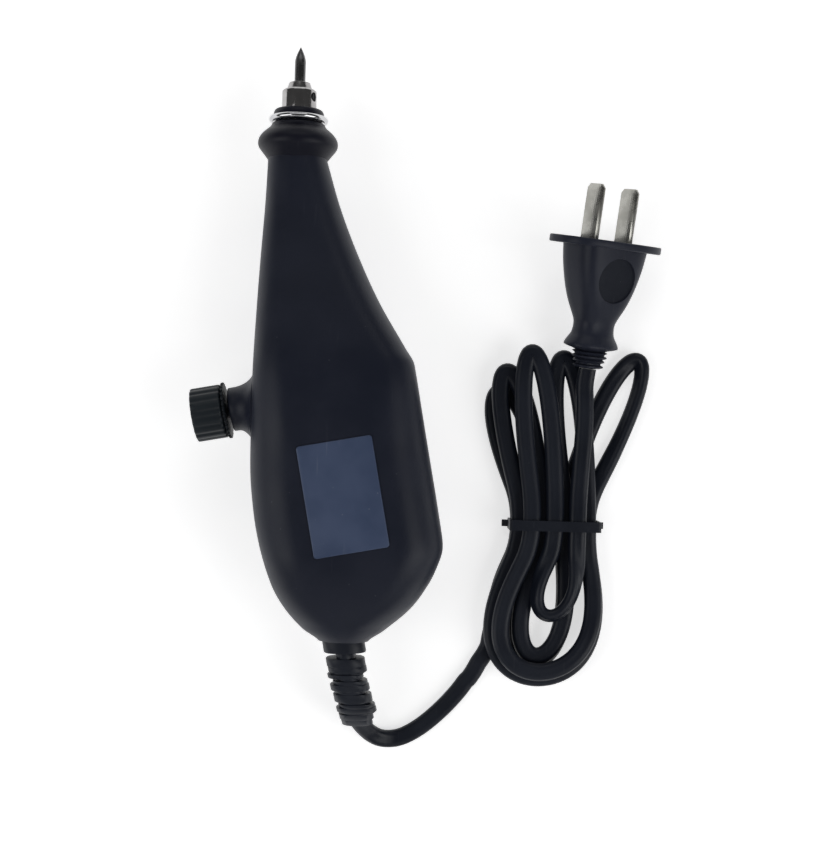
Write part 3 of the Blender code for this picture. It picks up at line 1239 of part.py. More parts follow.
def loop_points(leave, back, side_share, out_share, width_share, layer, reach, sign):
    """One teardrop loop of the hank, from its slot at the waist out to its tip and back."""
    slots = [
        Vector((WAIST.x + slot * STRAND_PITCH, WAIST.y + sign * WAIST_HALF_RUN, layer_height(level)))
        for slot, level in (leave, back)
    ]
    middle = (slots[0] + slots[1]) / 2
    half_slot = (slots[0] - slots[1]).xy.length / 2
    tip = Vector((WAIST.x + side_share * HANK_HALF_WIDTH, WAIST.y + sign * out_share * reach, 0))
    axis = Vector((tip.x - middle.x, tip.y - middle.y, 0))
    across = Vector((slots[0].x - slots[1].x, 0, 0)).normalized()
    swell = (width_share * HANK_HALF_WIDTH - SLOT_AT_WIDEST_SHARE * half_slot) / LOOP_WIDEST_SHARE
    climb_start = CLIMB_START_SHARE - CLIMB_EARLIER_SHARE * layer
    points = []
    for i in range(LOOP_POINTS):
        part = (i + 0.5) / LOOP_POINTS
        rise = math.sin(math.pi * part)
        swing = math.cos(math.pi * part)
        spread = half_slot + swell * rise**LOOP_SWELL_POWER
        point = middle + axis * rise**LOOP_RISE_POWER + across * swing * spread
        if part < 0.5:
            climb = eased((part - climb_start) / CLIMB_RUN_SHARE)
            point.z = slots[0].z + (layer_height(layer) - slots[0].z) * climb
        else:
            climb = eased((part - DESCENT_START_SHARE) / CLIMB_RUN_SHARE)
            point.z = layer_height(layer) + (slots[1].z - layer_height(layer)) * climb
        points.append(point)
    return points


def waist_point(place):
    """The middle of the tied waist, in a slot and a layer."""
    return Vector((WAIST.x + place[0] * STRAND_PITCH, WAIST.y, layer_height(place[1])))


def hank_points():
    """Every point of the hank's one cord, from the lead to the plug, lifted where it passes the tie."""
    _, heading = lead_points()
    start = LEAD_END + heading * GAP
    entry = Vector((WAIST.x - 1.5 * STRAND_PITCH, WAIST.y - WAIST_HALF_RUN, CORD_REST))
    way_in = [start + heading * CORD_WIDTH] + [Vector((x, y, CORD_REST)) for x, y in WAY_IN] + [entry]
    plug_axis = PLUG_FRAME.to_3x3() @ Vector((0, 1, 0))
    end = PLUG_TAIL - plug_axis * GAP
    leave = Vector((WAIST.x + STRAND_PITCH, WAIST.y + WAIST_HALF_RUN, layer_height(2)))
    way_out = [leave] + [Vector((x, y, layer_height(2))) for x, y in WAY_OUT] + [end - plug_axis * CORD_WIDTH]
    points = smooth_path(way_in, WAY_POINTS) + [waist_point(TOP_LOOP_SHARES[0][0])]
    for top, bottom in zip(TOP_LOOP_SHARES, BOTTOM_LOOP_SHARES):
        points += loop_points(*top, HANK_TOP, 1) + [waist_point(top[1])]
        points += loop_points(*bottom, HANK_BOTTOM, -1) + [waist_point(bottom[1])]
    points += smooth_path(way_out, WAY_POINTS)
    for _ in range(2):
        inner = [(a + 2 * b + c) / 4 for a, b, c in zip(points, points[1:], points[2:])]
        points = [points[0]] + inner + [points[-1]]
    points = [start] + points + [end]
    for point in points:
        from_waist = (point.y - WAIST.y) / WAIST_HALF_RUN
        point.z += WAIST_LIFT * math.exp(-from_waist * from_waist)
    return points


def least_gap(points):
    """The least clearance of a flat cord to itself, from points taken four to a span."""
    fine, along = [], [0.0]
    for first, second in zip(points, points[1:]):
        fine += [first.lerp(second, i / 4) for i in range(4)]
    for first, second in zip(fine, fine[1:]):
        along.append(along[-1] + (second - first).length)
    least = 1.0
    for i in range(1, len(fine) - 1):
        ahead = (fine[i + 1] - fine[i - 1]).normalized()
        side = Vector((-ahead.y, ahead.x, 0)).normalized()
        up = ahead.cross(side)
        for j, other in enumerate(fine):
            away = other - fine[i]
            if abs(along[j] - along[i]) < 3 * CORD_WIDTH or abs(away.dot(ahead)) > CORD_WIDTH / 2:
                continue
            beside = abs(away.dot(side)) - CORD_WIDTH
            above = abs(away.dot(up)) - CORD_THICKNESS
            least = min(least, max(beside, above))
    return least, along[-1]


def make_cord(rubber, tie_paint):
    """The free cord, its hank and the tie round the hank's waist."""
    route, _ = lead_points()
    flat_tube("cord_lead", route, rubber)
    points = hank_points()
    flat_tube("cord_hank", points, rubber)
    gap, length = least_gap(points)
    print(f"hank: {length * 1000:.0f} mm of cord, least gap to itself {gap * 1000:.2f} mm")

    inner_half = 1.5 * STRAND_PITCH + CORD_WIDTH / 2 + TIE_ROOM
    bottom = CORD_REST + WAIST_LIFT - CORD_THICKNESS / 2 - GAP
    top = layer_height(2) + WAIST_LIFT + CORD_THICKNESS / 2 + GAP
    half_height, middle = (top - bottom) / 2, (top + bottom) / 2
    place = Matrix.Translation((WAIST.x, WAIST.y, middle)) @ Matrix.Rotation(math.radians(90), 4, "X")
    outer_half, outer_height = inner_half + TIE_THICKNESS, half_height + TIE_THICKNESS
    outline = rounded_outline(outer_half, outer_height, 2 * TIE_THICKNESS, steps=2)
    hole = rounded_outline(inner_half, half_height, TIE_THICKNESS, steps=2)
    tie = piece("hank_tie", prism(outline, -TIE_WIDTH / 2, TIE_WIDTH / 2, "hank_tie"), tie_paint, None, place)
    for sign in (-1, 1):
        near, far = sorted((sign * (inner_half + TIE_THICKNESS / 2), sign * (inner_half + TIE_TAB)))
        tab = box((near, -TIE_THICKNESS / 2, -TIE_WIDTH / 2), (far, TIE_THICKNESS / 2, TIE_WIDTH / 3))
        combine(tie, helper("tie_tab", tab, place=place), "UNION")
    combine(tie, helper("tie_hole", prism(hole, -TIE_WIDTH, TIE_WIDTH), place=place))


def plug_section(along, half_width, half_depth):
    """A soft oval across the plug."""
    points = []
    for i in range(PLUG_STEPS):
        turn = 2 * math.pi * i / PLUG_STEPS
        x, z = math.cos(turn), math.sin(turn)
        x = half_width * math.copysign(abs(x) ** PLUG_ROUNDNESS, x)
        z = half_depth * math.copysign(abs(z) ** PLUG_ROUNDNESS, z)
        points.append((x, along, z))
    return points


def make_plug(rubber, nickel):
    """The moulded plug with its flange and recess, and its two flat blades."""
    body_end = PLUG_LENGTH - FLANGE_THICKNESS
    rings = [
        plug_section(station * PLUG_LENGTH, width * PLUG_HALF_WIDTH, depth * PLUG_HALF_DEPTH)
        for station, width, depth in PLUG_SHARES
    ]
    rings += [plug_section(along, FLANGE_HALF_WIDTH, FLANGE_HALF_DEPTH) for along in (body_end, PLUG_LENGTH)]
    body = piece("plug_body", lofted(rings, "plug_body"), rubber, None, PLUG_FRAME)
    station = RECESS_STATION_SHARE * PLUG_LENGTH
    face = spline_value([(row[0], row[2]) for row in PLUG_SHARES], RECESS_STATION_SHARE) * PLUG_HALF_DEPTH
    recess = rod(RECESS_RADIUS, face - RECESS_DEPTH, face + OVERRUN, RIM_STEPS)
    combine(body, helper("plug_recess", recess, None, PLUG_FRAME @ Matrix.Translation((0, station, 0))))
    for side, sign in (("left", -1), ("right", 1)):
        place = PLUG_FRAME @ Matrix.Translation((sign * BLADE_SPACING / 2, PLUG_LENGTH, 0))
        thick, wide = BLADE_THICKNESS / 2, BLADE_WIDTH / 2
        rings = []
        for along, taper in ((-BLADE_ROOT, 0), (BLADE_LENGTH - BLADE_TIP, 0), (BLADE_LENGTH, BLADE_TIP)):
            outline = rounded_outline(thick - taper / 4, wide - taper / 2, thick / 3, steps=1)
            rings.append([(x, along, z) for x, z in outline])
        piece("plug_pin_" + side, lofted(rings, "plug_pin_" + side), nickel, None, place)
        slot = box((-thick - GAP, -BLADE_ROOT - GAP, -wide - GAP), (thick + GAP, OVERRUN, wide + GAP))
        combine(body, helper("pin_slot_" + side, slot, None, place))


clear_scene()

PLUG_FRAME = (
    Matrix.Translation(PLUG_TAIL) @ Matrix.Rotation(-PLUG_TURN, 4, "Z")
    @ Matrix.Rotation(PLUG_PITCH, 4, "X") @ Matrix.Rotation(PLUG_ROLL, 4, "Y")
)
LOCK_FRAME = (
    STYLUS_FRAME @ Matrix.Translation((0, 0, CHUCK_FRONT - LOCK_SCREW_SETBACK))
    @ Matrix.Rotation(-LOCK_SCREW_TILT, 4, "Z") @ Matrix.Rotation(math.radians(90), 4, "Y")
)
STYLUS_EMPTY = empty("stylus_axis", STYLUS_FRAME)
SLIDE_EMPTY = empty("stylus_slide", STYLUS_FRAME)
LOCK_EMPTY = empty("lock_screw_axis", LOCK_FRAME)
BODY_EMPTY = empty("body_frame", BODY_FRAME)
SWING_EMPTY = empty("armature_pivot", BODY_FRAME @ Matrix.Translation((PIVOT_OUT, LEAF_BACK, 0)))
ADJUSTER_EMPTY = empty("adjuster_axis", ADJUSTER_FRAME)
TRAVEL_EMPTY = empty("adjuster_travel", ADJUSTER_FRAME)
KNOB_EMPTY = empty("knob_axis", ADJUSTER_FRAME)
TAIL_EMPTY = empty("tail_frame", TAIL_FRAME)

BLACK = material("black moulding", (0.012, 0.013, 0.016), 0.42)
SLATE = material("label film", (0.040, 0.052, 0.070), 0.35)
RUBBER = material("black rubber", (0.010, 0.010, 0.011), 0.55)
CHROME = material("chrome", (0.80, 0.80, 0.82), 0.12, 1.0)
STEEL = material("turned steel", (0.55, 0.55, 0.57), 0.30, 1.0)
DARK_STEEL = material("blackened steel", (0.06, 0.06, 0.065), 0.40, 1.0)
CARBIDE = material("carbide", (0.16, 0.16, 0.17), 0.35, 1.0)
BRASS = material("brass", (0.72, 0.52, 0.20), 0.30, 1.0)
IRON = material("electrical steel", (0.30, 0.31, 0.34), 0.45, 1.0)
SPRING_STEEL = material("blued spring steel", (0.10, 0.13, 0.22), 0.30, 1.0)
NYLON = material("natural nylon", (0.70, 0.66, 0.55), 0.50)
COPPER = material("enamelled copper", (0.60, 0.22, 0.08), 0.35, 1.0)
NICKEL = material("nickel plate", (0.66, 0.63, 0.56), 0.22, 1.0)
RED = material("red lead", (0.55, 0.03, 0.02), 0.45)
BLUE = material("blue lead", (0.03, 0.08, 0.45), 0.45)

make_shell("front_shell", 1, BLACK)
make_shell("back_shell", -1, BLACK)
make_housing_screws(DARK_STEEL)
make_label(SLATE)
make_nose(RUBBER, CHROME, BRASS)
make_stylus(STEEL, CARBIDE, DARK_STEEL)
make_magnet(IRON, NYLON, COPPER, STEEL)
make_armature(IRON, SPRING_STEEL, STEEL)
make_adjuster(BLACK, STEEL, BRASS)
make_relief(RUBBER)
make_cord_ends(RUBBER, NYLON, STEEL, RED, BLUE)
make_cord(RUBBER, RUBBER)
make_plug(RUBBER, NICKEL)
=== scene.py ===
# %% [markdown]
# # Dressing an electric engraving pen
# The solids of the pen come from its own file, already packed. This lesson gives them their looks: the
# moulded housing, the rubber and steel of the nose, the fluted knob, the flat cord tied in a hank, and the
# two-pin plug. Everything is in metres, in the frame of those solids: the stylus points along +Y, the label
# looks up along +Z, and the origin lies on the flat belly. Reading the fixed frame first means that no piece
# has to be fitted by eye afterwards.

# %% Load the fixed frame
import bmesh
import bpy
import math
from mathutils import Matrix, Vector
from mathutils.bvhtree import BVHTree


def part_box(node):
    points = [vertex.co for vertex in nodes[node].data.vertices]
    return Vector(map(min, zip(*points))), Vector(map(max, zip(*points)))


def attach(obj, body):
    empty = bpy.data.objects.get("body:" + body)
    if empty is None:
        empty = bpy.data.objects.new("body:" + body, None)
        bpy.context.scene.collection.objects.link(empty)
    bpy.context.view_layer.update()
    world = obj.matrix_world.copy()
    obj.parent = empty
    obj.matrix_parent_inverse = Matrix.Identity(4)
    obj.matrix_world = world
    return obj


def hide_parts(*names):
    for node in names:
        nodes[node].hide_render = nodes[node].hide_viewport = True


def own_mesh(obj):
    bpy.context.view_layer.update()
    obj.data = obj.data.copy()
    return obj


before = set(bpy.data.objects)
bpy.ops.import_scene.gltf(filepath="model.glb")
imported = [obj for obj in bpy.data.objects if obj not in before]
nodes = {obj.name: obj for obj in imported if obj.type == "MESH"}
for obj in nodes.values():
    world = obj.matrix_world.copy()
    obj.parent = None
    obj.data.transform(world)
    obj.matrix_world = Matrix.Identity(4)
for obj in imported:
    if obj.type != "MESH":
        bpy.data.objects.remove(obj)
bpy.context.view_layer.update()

# %% [markdown]
# ## Camera
# The photograph looks straight down on the pen from about 43 cm, turned by less than two degrees. A camera's
# view runs along its own -Z, so a camera without any tilt already looks down, and only the roll is set.
# Depth of field stays off.

# %% Camera above the pen
PHOTO_CENTRE = Vector((0.03524, 0.00792))
CAMERA_HEIGHT = 0.430
CAMERA_ROLL = math.radians(1.7)
LENS_MM = 60.9

camera_data = bpy.data.cameras.new("camera")
camera_data.lens = LENS_MM
camera_data.sensor_width = 36
camera = bpy.data.objects.new("camera", camera_data)
camera.location = (*PHOTO_CENTRE, CAMERA_HEIGHT)
camera.rotation_euler = (0, 0, CAMERA_ROLL)
bpy.context.scene.collection.objects.link(camera)
bpy.context.scene.camera = camera
bpy.context.scene.view_settings.view_transform = "Standard"
print("camera at", tuple(round(value, 4) for value in camera.location))

# %% [markdown]
# ## Small helpers for shader nodes
# A material is a graph. `node` adds one node and `put` fills its sockets: a plain number is typed into the
# socket, and a socket of another node is linked. `group` makes a reusable node group with named inputs and
# one named output. What is the same all over a surface stays on the shader.

# %% Node and group helpers
def put(tree, sockets, values):
    for name, value in values.items():
        if isinstance(value, bpy.types.NodeSocket):
            tree.links.new(value, sockets[name])
        else:
            sockets[name].default_value = value


def node(tree, kind, values=None, **settings):
    made = tree.nodes.new(kind)
    for name, value in settings.items():
        setattr(made, name, value)
    put(tree, made.inputs, values or {})
    return made


def group(name, output, levels):
    """A node group that takes a Vector and some levels, with the sockets of its input and its output."""
    tree = bpy.data.node_groups.new(name, "ShaderNodeTree")
    tree.interface.new_socket("Vector", in_out="INPUT", socket_type="NodeSocketVector")
    for label, level in levels.items():
        tree.interface.new_socket(label, in_out="INPUT", socket_type="NodeSocketFloat").default_value = level
    tree.interface.new_socket(output, in_out="OUTPUT", socket_type="NodeSocketFloat")
    return tree, tree.nodes.new("NodeGroupInput").outputs, tree.nodes.new("NodeGroupOutput").inputs


def math_node(tree, operation, first, second=0.0):
    return node(tree, "ShaderNodeMath", {0: first, 1: second}, operation=operation).outputs[0]


def product(tree, first, second):
    return math_node(tree, "MULTIPLY", first, second)


def ramp(tree, value, low, high, to_low=0.0, to_high=1.0):
    """Maps a value between two levels onto two others, with soft ends."""
    levels = {"Value": value, "From Min": low, "From Max": high, "To Min": to_low, "To Max": to_high}
    return node(tree, "ShaderNodeMapRange", levels, interpolation_type="SMOOTHSTEP").outputs["Result"]


# %% [markdown]
# ## Grain
# A steel mould for a hand tool is spark-eroded or etched, and its fine pits come off on every part. Two
# noises of different size, added together, make that grain. The group gives a height, which a Bump node
# turns into tilted normals, so no real geometry is spent on pits a tenth of a millimetre wide.

# %% Grain group
FINE_SCALE = 3.1
GRAIN, given, result = group("moulded grain", "Height", {"Grains per metre": 3000.0, "Fine share": 0.4})
coarse = node(GRAIN, "ShaderNodeTexNoise", {
    "Vector": given["Vector"], "Scale": given["Grains per metre"], "Detail": 2.0,
})
fine = node(GRAIN, "ShaderNodeTexVoronoi", {
    "Vector": given["Vector"], "Scale": product(GRAIN, given["Grains per metre"], FINE_SCALE),
})
fine_part = product(GRAIN, fine.outputs["Distance"], given["Fine share"])
GRAIN.links.new(math_node(GRAIN, "ADD", coarse.outputs["Fac"], fine_part), result["Height"])
print("group:", GRAIN.name)

# %% [markdown]
# ## Scuffs
# Scuffs are thin scratches that show only in patches: a noise squeezed along one direction, cut off high,
# and masked by a large soft noise.

# %% Scuffs group
SCUFFS, given, result = group("scuffs", "Mask", {"Scratches per metre": 900.0, "Amount": 0.5})
squeezed = node(SCUFFS, "ShaderNodeMapping", {
    "Vector": given["Vector"], "Rotation": (0.4, 0.3, 0.7), "Scale": (1.0, 0.06, 0.35),
})
lines = node(SCUFFS, "ShaderNodeTexNoise", {
    "Vector": squeezed.outputs["Vector"], "Scale": given["Scratches per metre"],
    "Detail": 1.0, "Roughness": 0.4,
})
patches = node(SCUFFS, "ShaderNodeTexNoise", {"Vector": given["Vector"], "Scale": 70.0, "Detail": 2.0})
thin_lines = ramp(SCUFFS, lines.outputs["Fac"], 0.66, 0.74)
in_patches = product(SCUFFS, thin_lines, ramp(SCUFFS, patches.outputs["Fac"], 0.5, 0.66))
SCUFFS.links.new(product(SCUFFS, in_patches, given["Amount"]), result["Mask"])
print("group:", SCUFFS.name)

# %% [markdown]
# ## Dust
# Dust is a scatter of small specks. It settles only on faces that look up, so their normal masks it.

# %% Dust group
DUST, given, result = group("settled dust", "Mask", {"Specks per metre": 420.0, "Amount": 0.5})
specks = node(DUST, "ShaderNodeTexVoronoi", {
    "Vector": given["Vector"], "Scale": given["Specks per metre"], "Randomness": 1.0,
})
small = ramp(DUST, specks.outputs["Distance"], 0.10, 0.045)
chance = node(DUST, "ShaderNodeSeparateColor", {"Color": specks.outputs["Color"]}).outputs["Red"]
few = math_node(DUST, "GREATER_THAN", chance, 0.82)
normal = node(DUST, "ShaderNodeNewGeometry").outputs["Normal"]
looks_up = ramp(DUST, node(DUST, "ShaderNodeSeparateXYZ", {"Vector": normal}).outputs["Z"], 0.1, 0.8)
on_top = product(DUST, product(DUST, small, few), looks_up)
DUST.links.new(product(DUST, on_top, given["Amount"]), result["Mask"])
print("group:", DUST.name)

# %% [markdown]
# ## Worn edges
# Fingers rub the edges first. The Pointiness of the mesh is above one half on convex edges, and a noise
# breaks the wear up.

# %% Edge wear group
WEAR, given, result = group("worn edges", "Mask", {"Start": 0.53, "Full": 0.62, "Amount": 0.5})
pointiness = node(WEAR, "ShaderNodeNewGeometry").outputs["Pointiness"]
convex = node(WEAR, "ShaderNodeMapRange", {
    "Value": pointiness, "From Min": given["Start"], "From Max": given["Full"],
}).outputs["Result"]
broken = node(WEAR, "ShaderNodeTexNoise", {"Vector": given["Vector"], "Scale": 500.0, "Detail": 3.0})
rubbed = product(WEAR, convex, ramp(WEAR, broken.outputs["Fac"], 0.4, 0.6))
WEAR.links.new(product(WEAR, rubbed, given["Amount"]), result["Mask"])
print("group:", WEAR.name)

# %% [markdown]
# ## Lathe marks
# A tool bit leaves fine rings round a turned part. The rings are bands of the distance along the axis,
# which the material reads after it has turned the axis onto Y. A little noise keeps them from looking drawn.

# %% Lathe marks group
LATHE, given, result = group("lathe marks", "Height", {"Rings per metre": 1500.0, "Wobble": 0.3})
rings = node(LATHE, "ShaderNodeTexWave", {
    "Vector": given["Vector"], "Scale": given["Rings per metre"], "Distortion": given["Wobble"],
    "Detail": 2.0, "Detail Scale": 0.2,
}, wave_type="BANDS", bands_direction="Y", wave_profile="SIN")
LATHE.links.new(rings.outputs["Fac"], result["Height"])
print("groups:", [tree.name for tree in bpy.data.node_groups])

# %% [markdown]
# ## Finishes
# `moulded` is for every hard or soft plastic here: a colour that wanders slightly between two close tones,
# roughness that wanders with it, grain in the normal, and masks of scuffs, dust and wear that lighten the
# surface. `metal` is for turned, drawn and plated metal, with lathe marks instead of grain. Depths are in
# microns.

# %% Finish builders
MICRON = 0.000001


def start_material(name, tint_scale, detail, fixed):
    """A material with its shader, its place on the piece and a cloudy noise."""
    made = bpy.data.materials.new(name)
    made.use_nodes = True
    tree = made.node_tree
    shader = tree.nodes["Principled BSDF"]
    put(tree, shader.inputs, fixed)
    where = node(tree, "ShaderNodeTexCoord").outputs["Object"]
    clouds = node(tree, "ShaderNodeTexNoise", {"Vector": where, "Scale": tint_scale, "Detail": detail})
    return made, tree, shader, where, clouds.outputs["Fac"]


def grouped(tree, shared, values):
    """One of the shared groups, placed in a material."""
    return node(tree, "ShaderNodeGroup", values, node_tree=shared).outputs[0]


def blended(tree, mask, first, second):
    """Two colours, or sockets with colours, mixed by a mask."""
    mix = node(tree, "ShaderNodeMix", {"Factor": mask}, data_type="RGBA")
    sides = [socket for socket in mix.inputs if socket.type == "RGBA"]
    for side, value in enumerate((first, second)):
        put(tree, sides, {side: value if isinstance(value, bpy.types.NodeSocket) else (*value, 1.0)})
    return [socket for socket in mix.outputs if socket.type == "RGBA"][0]


def finish(tree, shader, colour, rough, height, strength, depth):
    bump = node(tree, "ShaderNodeBump", {"Height": height, "Strength": strength, "Distance": depth * MICRON})
    put(tree, shader.inputs, {"Base Color": colour, "Roughness": rough, "Normal": bump.outputs["Normal"]})


def moulded(
    name, colour, second, pale, rough, grains, depth, scuffs=0.2, dust=0.3, wear=0.0, tint_scale=60.0,
    gloss=0.3,
):
    made, tree, shader, where, clouds = start_material(name, tint_scale, 3.0, {"Specular IOR Level": gloss})
    base = blended(tree, ramp(tree, clouds, 0.35, 0.65), colour, second)
    scratch, speck, edge = (
        grouped(tree, shared, {"Vector": where, "Amount": amount})
        for shared, amount in ((SCUFFS, scuffs), (DUST, dust), (WEAR, wear))
    )
    light = math_node(tree, "MAXIMUM", math_node(tree, "MAXIMUM", scratch, speck), edge)
    spread = ramp(tree, clouds, 0.3, 0.7, rough - 0.05, rough + 0.05)
    rough = math_node(tree, "SUBTRACT", spread, product(tree, scratch, 0.12))
    height = grouped(tree, GRAIN, {"Vector": where, "Grains per metre": grains})
    finish(tree, shader, blended(tree, light, base, pale), rough, height, 0.6, depth)
    return made


def metal(name, colour, second, rough, rings, depth, turned=(0, 0, 0), scuffs=0.5):
    made, tree, shader, where, clouds = start_material(name, 260.0, 4.0, {"Metallic": 1.0})
    scratch = grouped(tree, SCUFFS, {"Vector": where, "Scratches per metre": 2200.0, "Amount": scuffs})
    base = blended(tree, ramp(tree, clouds, 0.35, 0.68), colour, second)
    base = blended(tree, scratch, base, [min(1.0, value * 1.5) for value in colour])
    spread = ramp(tree, clouds, 0.3, 0.7, max(rough - 0.06, 0.03), rough + 0.08)
    rough = math_node(tree, "ADD", spread, product(tree, scratch, 0.2))
    along = node(tree, "ShaderNodeMapping", {"Vector": where, "Rotation": turned}).outputs["Vector"]
    height = grouped(tree, LATHE, {"Vector": along, "Rings per metre": rings})
    finish(tree, shader, base, rough, height, 0.5, depth)
    return made


# %% [markdown]
# ## Plastics and rubbers
# The housing is satin black with a cold tint. Its rubber parts are softer and duller, and the cord's jacket
# has a faint gloss from plasticiser. Each finish names its two tones and the pale tone of its scratches.

# %% Plastics and rubbers
HOUSING_BLACK = moulded(
    "housing black", (0.0056, 0.0086, 0.0212), (0.0074, 0.0106, 0.0246), (0.085, 0.090, 0.110),
    rough=0.47, grains=3200, depth=30, scuffs=0.05, gloss=0.34,
)
KNOB_BLACK = moulded(
    "knob black", (0.0100, 0.0150, 0.0200), (0.0130, 0.0185, 0.0240), (0.100, 0.105, 0.115),
    rough=0.40, grains=4200, depth=20, scuffs=0.5, dust=0.4, wear=0.35,
)
NOSE_RUBBER = moulded(
    "nose rubber", (0.0052, 0.0058, 0.0135), (0.0070, 0.0078, 0.0165), (0.060, 0.062, 0.075),
    rough=0.44, grains=5200, depth=20, scuffs=0.25, dust=0.6, wear=0.12, gloss=0.22,
)
CORD_VINYL = moulded(
    "cord vinyl", (0.0065, 0.0090, 0.0165), (0.0105, 0.0138, 0.0235), (0.055, 0.060, 0.070),
    rough=0.42, grains=2600, depth=30, scuffs=0.25, tint_scale=45.0,
)
PLUG_VINYL = moulded(
    "plug vinyl", (0.0215, 0.0245, 0.0380), (0.0260, 0.0292, 0.0440), (0.085, 0.090, 0.100),
    rough=0.36, grains=3600, depth=20, gloss=0.15,
)
RECESS_VINYL = moulded(
    "recess vinyl", (0.0090, 0.0115, 0.0195), (0.0115, 0.0140, 0.0225), (0.070, 0.075, 0.085),
    rough=0.55, grains=6500, depth=40, scuffs=0.10, gloss=0.12,
)
LABEL_FILM = moulded(
    "label film", (0.0560, 0.0800, 0.1500), (0.0760, 0.1040, 0.1850), (0.240, 0.270, 0.330),
    rough=0.34, grains=5200, depth=10, scuffs=0.18, dust=0.4, tint_scale=55.0,
)
WASHER_BLACK = moulded(
    "lacquered washer", (0.0080, 0.0110, 0.0150), (0.0110, 0.0145, 0.0190), (0.090, 0.092, 0.096),
    rough=0.46, grains=4800, depth=20, scuffs=0.6, wear=0.3, gloss=0.2,
)
NATURAL_NYLON = moulded(
    "natural nylon", (0.68, 0.64, 0.53), (0.60, 0.56, 0.46), (0.86, 0.83, 0.74),
    rough=0.45, grains=2500, depth=20, dust=0.0, wear=0.3,
)
RED_LEAD, BLUE_LEAD = (
    moulded(name, *colours, rough=0.38, grains=3000, depth=20, dust=0.0, wear=0.2)
    for name, colours in (
        ("red lead", ((0.50, 0.03, 0.02), (0.40, 0.02, 0.02), (0.75, 0.30, 0.28))),
        ("blue lead", ((0.03, 0.08, 0.42), (0.02, 0.06, 0.34), (0.30, 0.40, 0.75))),
    )
)
print("plastics:", len(bpy.data.materials))

# %% [markdown]
# ## Metals
# The chuck is turned bright steel, the needle ground carbide, the ring chrome, and the plug's blades are
# nickel, a little yellow. Inner parts get their workshop metals. The numbers after the two tones are the
# roughness, the rings per metre and their depth.

# %% Metals
QUARTER = math.radians(90)
BODY_BEND = math.radians(11)
TURNED_STEEL = metal("turned steel", (0.46, 0.45, 0.45), (0.34, 0.33, 0.33), 0.11, 2400, 4, scuffs=0.2)
ADJUSTER_STEEL = metal(
    "adjuster steel", (0.055, 0.056, 0.060), (0.038, 0.039, 0.043), 0.38, 1800, 30,
    turned=(0, 0, QUARTER - BODY_BEND),
)
DARK_STEEL = metal(
    "blackened steel", (0.022, 0.023, 0.026), (0.034, 0.034, 0.037), 0.40, 900, 20, scuffs=0.1,
)
CARBIDE = metal("ground carbide", (0.10, 0.10, 0.102), (0.15, 0.15, 0.152), 0.24, 3200, 10)
CHROME = metal("chrome", (0.62, 0.62, 0.63), (0.55, 0.55, 0.57), 0.10, 300, 3, scuffs=0.2)
BRASS = metal("turned brass", (0.72, 0.51, 0.20), (0.60, 0.40, 0.15), 0.28, 2000, 20)
NICKEL = metal(
    "nickel plate", (0.42, 0.415, 0.385), (0.35, 0.345, 0.315), 0.27, 700, 10,
    turned=(0, 0, math.radians(97)), scuffs=0.7,
)
CORE_IRON = metal(
    "laminated iron", (0.30, 0.31, 0.34), (0.20, 0.20, 0.22), 0.46, 2000, 80, turned=(QUARTER, 0, 0),
)
SPRING_STEEL = metal("blued spring steel", (0.08, 0.11, 0.22), (0.14, 0.11, 0.20), 0.28, 500, 10)
COIL_COPPER = metal(
    "enamelled copper", (0.58, 0.22, 0.08), (0.42, 0.13, 0.05), 0.32, 1500, 180,
    turned=(0, 0, -BODY_BEND),
)
print("materials:", len(bpy.data.materials))

# %% [markdown]
# ## Shape helpers
# `turn` makes anything that a lathe could: a few corners of the profile, rounded with a vertex bevel, then
# spun once round Z and moved into its frame. `on_grid` makes anything that is stretched over a form: a flat
# grid whose every point is sent to a place by a function of two shares. `finish_piece` closes a mesh, turns
# its faces outwards and hangs it on the body that it moves with.

# %% Mesh helpers
MERGE = 1e-6
TURN_STEPS = 96


def linked(name, data):
    """An object round some data, linked to the scene."""
    made = bpy.data.objects.new(name, data)
    bpy.context.scene.collection.objects.link(made)
    return made


def mesh_from(bm, name, sharp=38):
    bmesh.ops.remove_doubles(bm, verts=bm.verts, dist=MERGE)
    bmesh.ops.recalc_face_normals(bm, faces=bm.faces)
    mesh = bpy.data.meshes.new(name)
    bm.to_mesh(mesh)
    bm.free()
    mesh.shade_smooth()
    mesh.set_sharp_from_angle(angle=math.radians(sharp))
    return mesh


def finish_piece(name, bm, material, slot, stands_for=(), body="pen_body", sharp=38):
    piece = linked(name, mesh_from(bm, name, sharp))
    piece.data.materials.append(material)
    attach(piece, body)
    if stands_for:
        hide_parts(*stands_for)
    print(f"{name}: {len(piece.data.polygons)} faces")
    return piece


def chain(bm, points, closed=False):
    """A chain of edges through the points."""
    verts = [bm.verts.new(point) for point in points]
    edges = [bm.edges.new(pair) for pair in zip(verts, verts[1:])]
    if closed:
        edges.append(bm.edges.new((verts[-1], verts[0])))
    return verts, edges


def soften(bm, parts, by, segments=3, affect="EDGES"):
    bmesh.ops.bevel(
        bm, geom=parts, offset=by, offset_type="OFFSET", segments=segments, profile=0.5, affect=affect,
        material=-1, clamp_overlap=True,
    )


def arc(centre, across, up, first, last, steps):
    """Points of an arc between two quarters, with its own half width and half height."""
    angles = [QUARTER * (first + (last - first) * i / steps) for i in range(steps + 1)]
    return [(centre[0] + across * math.cos(angle), centre[1] + up * math.sin(angle)) for angle in angles]


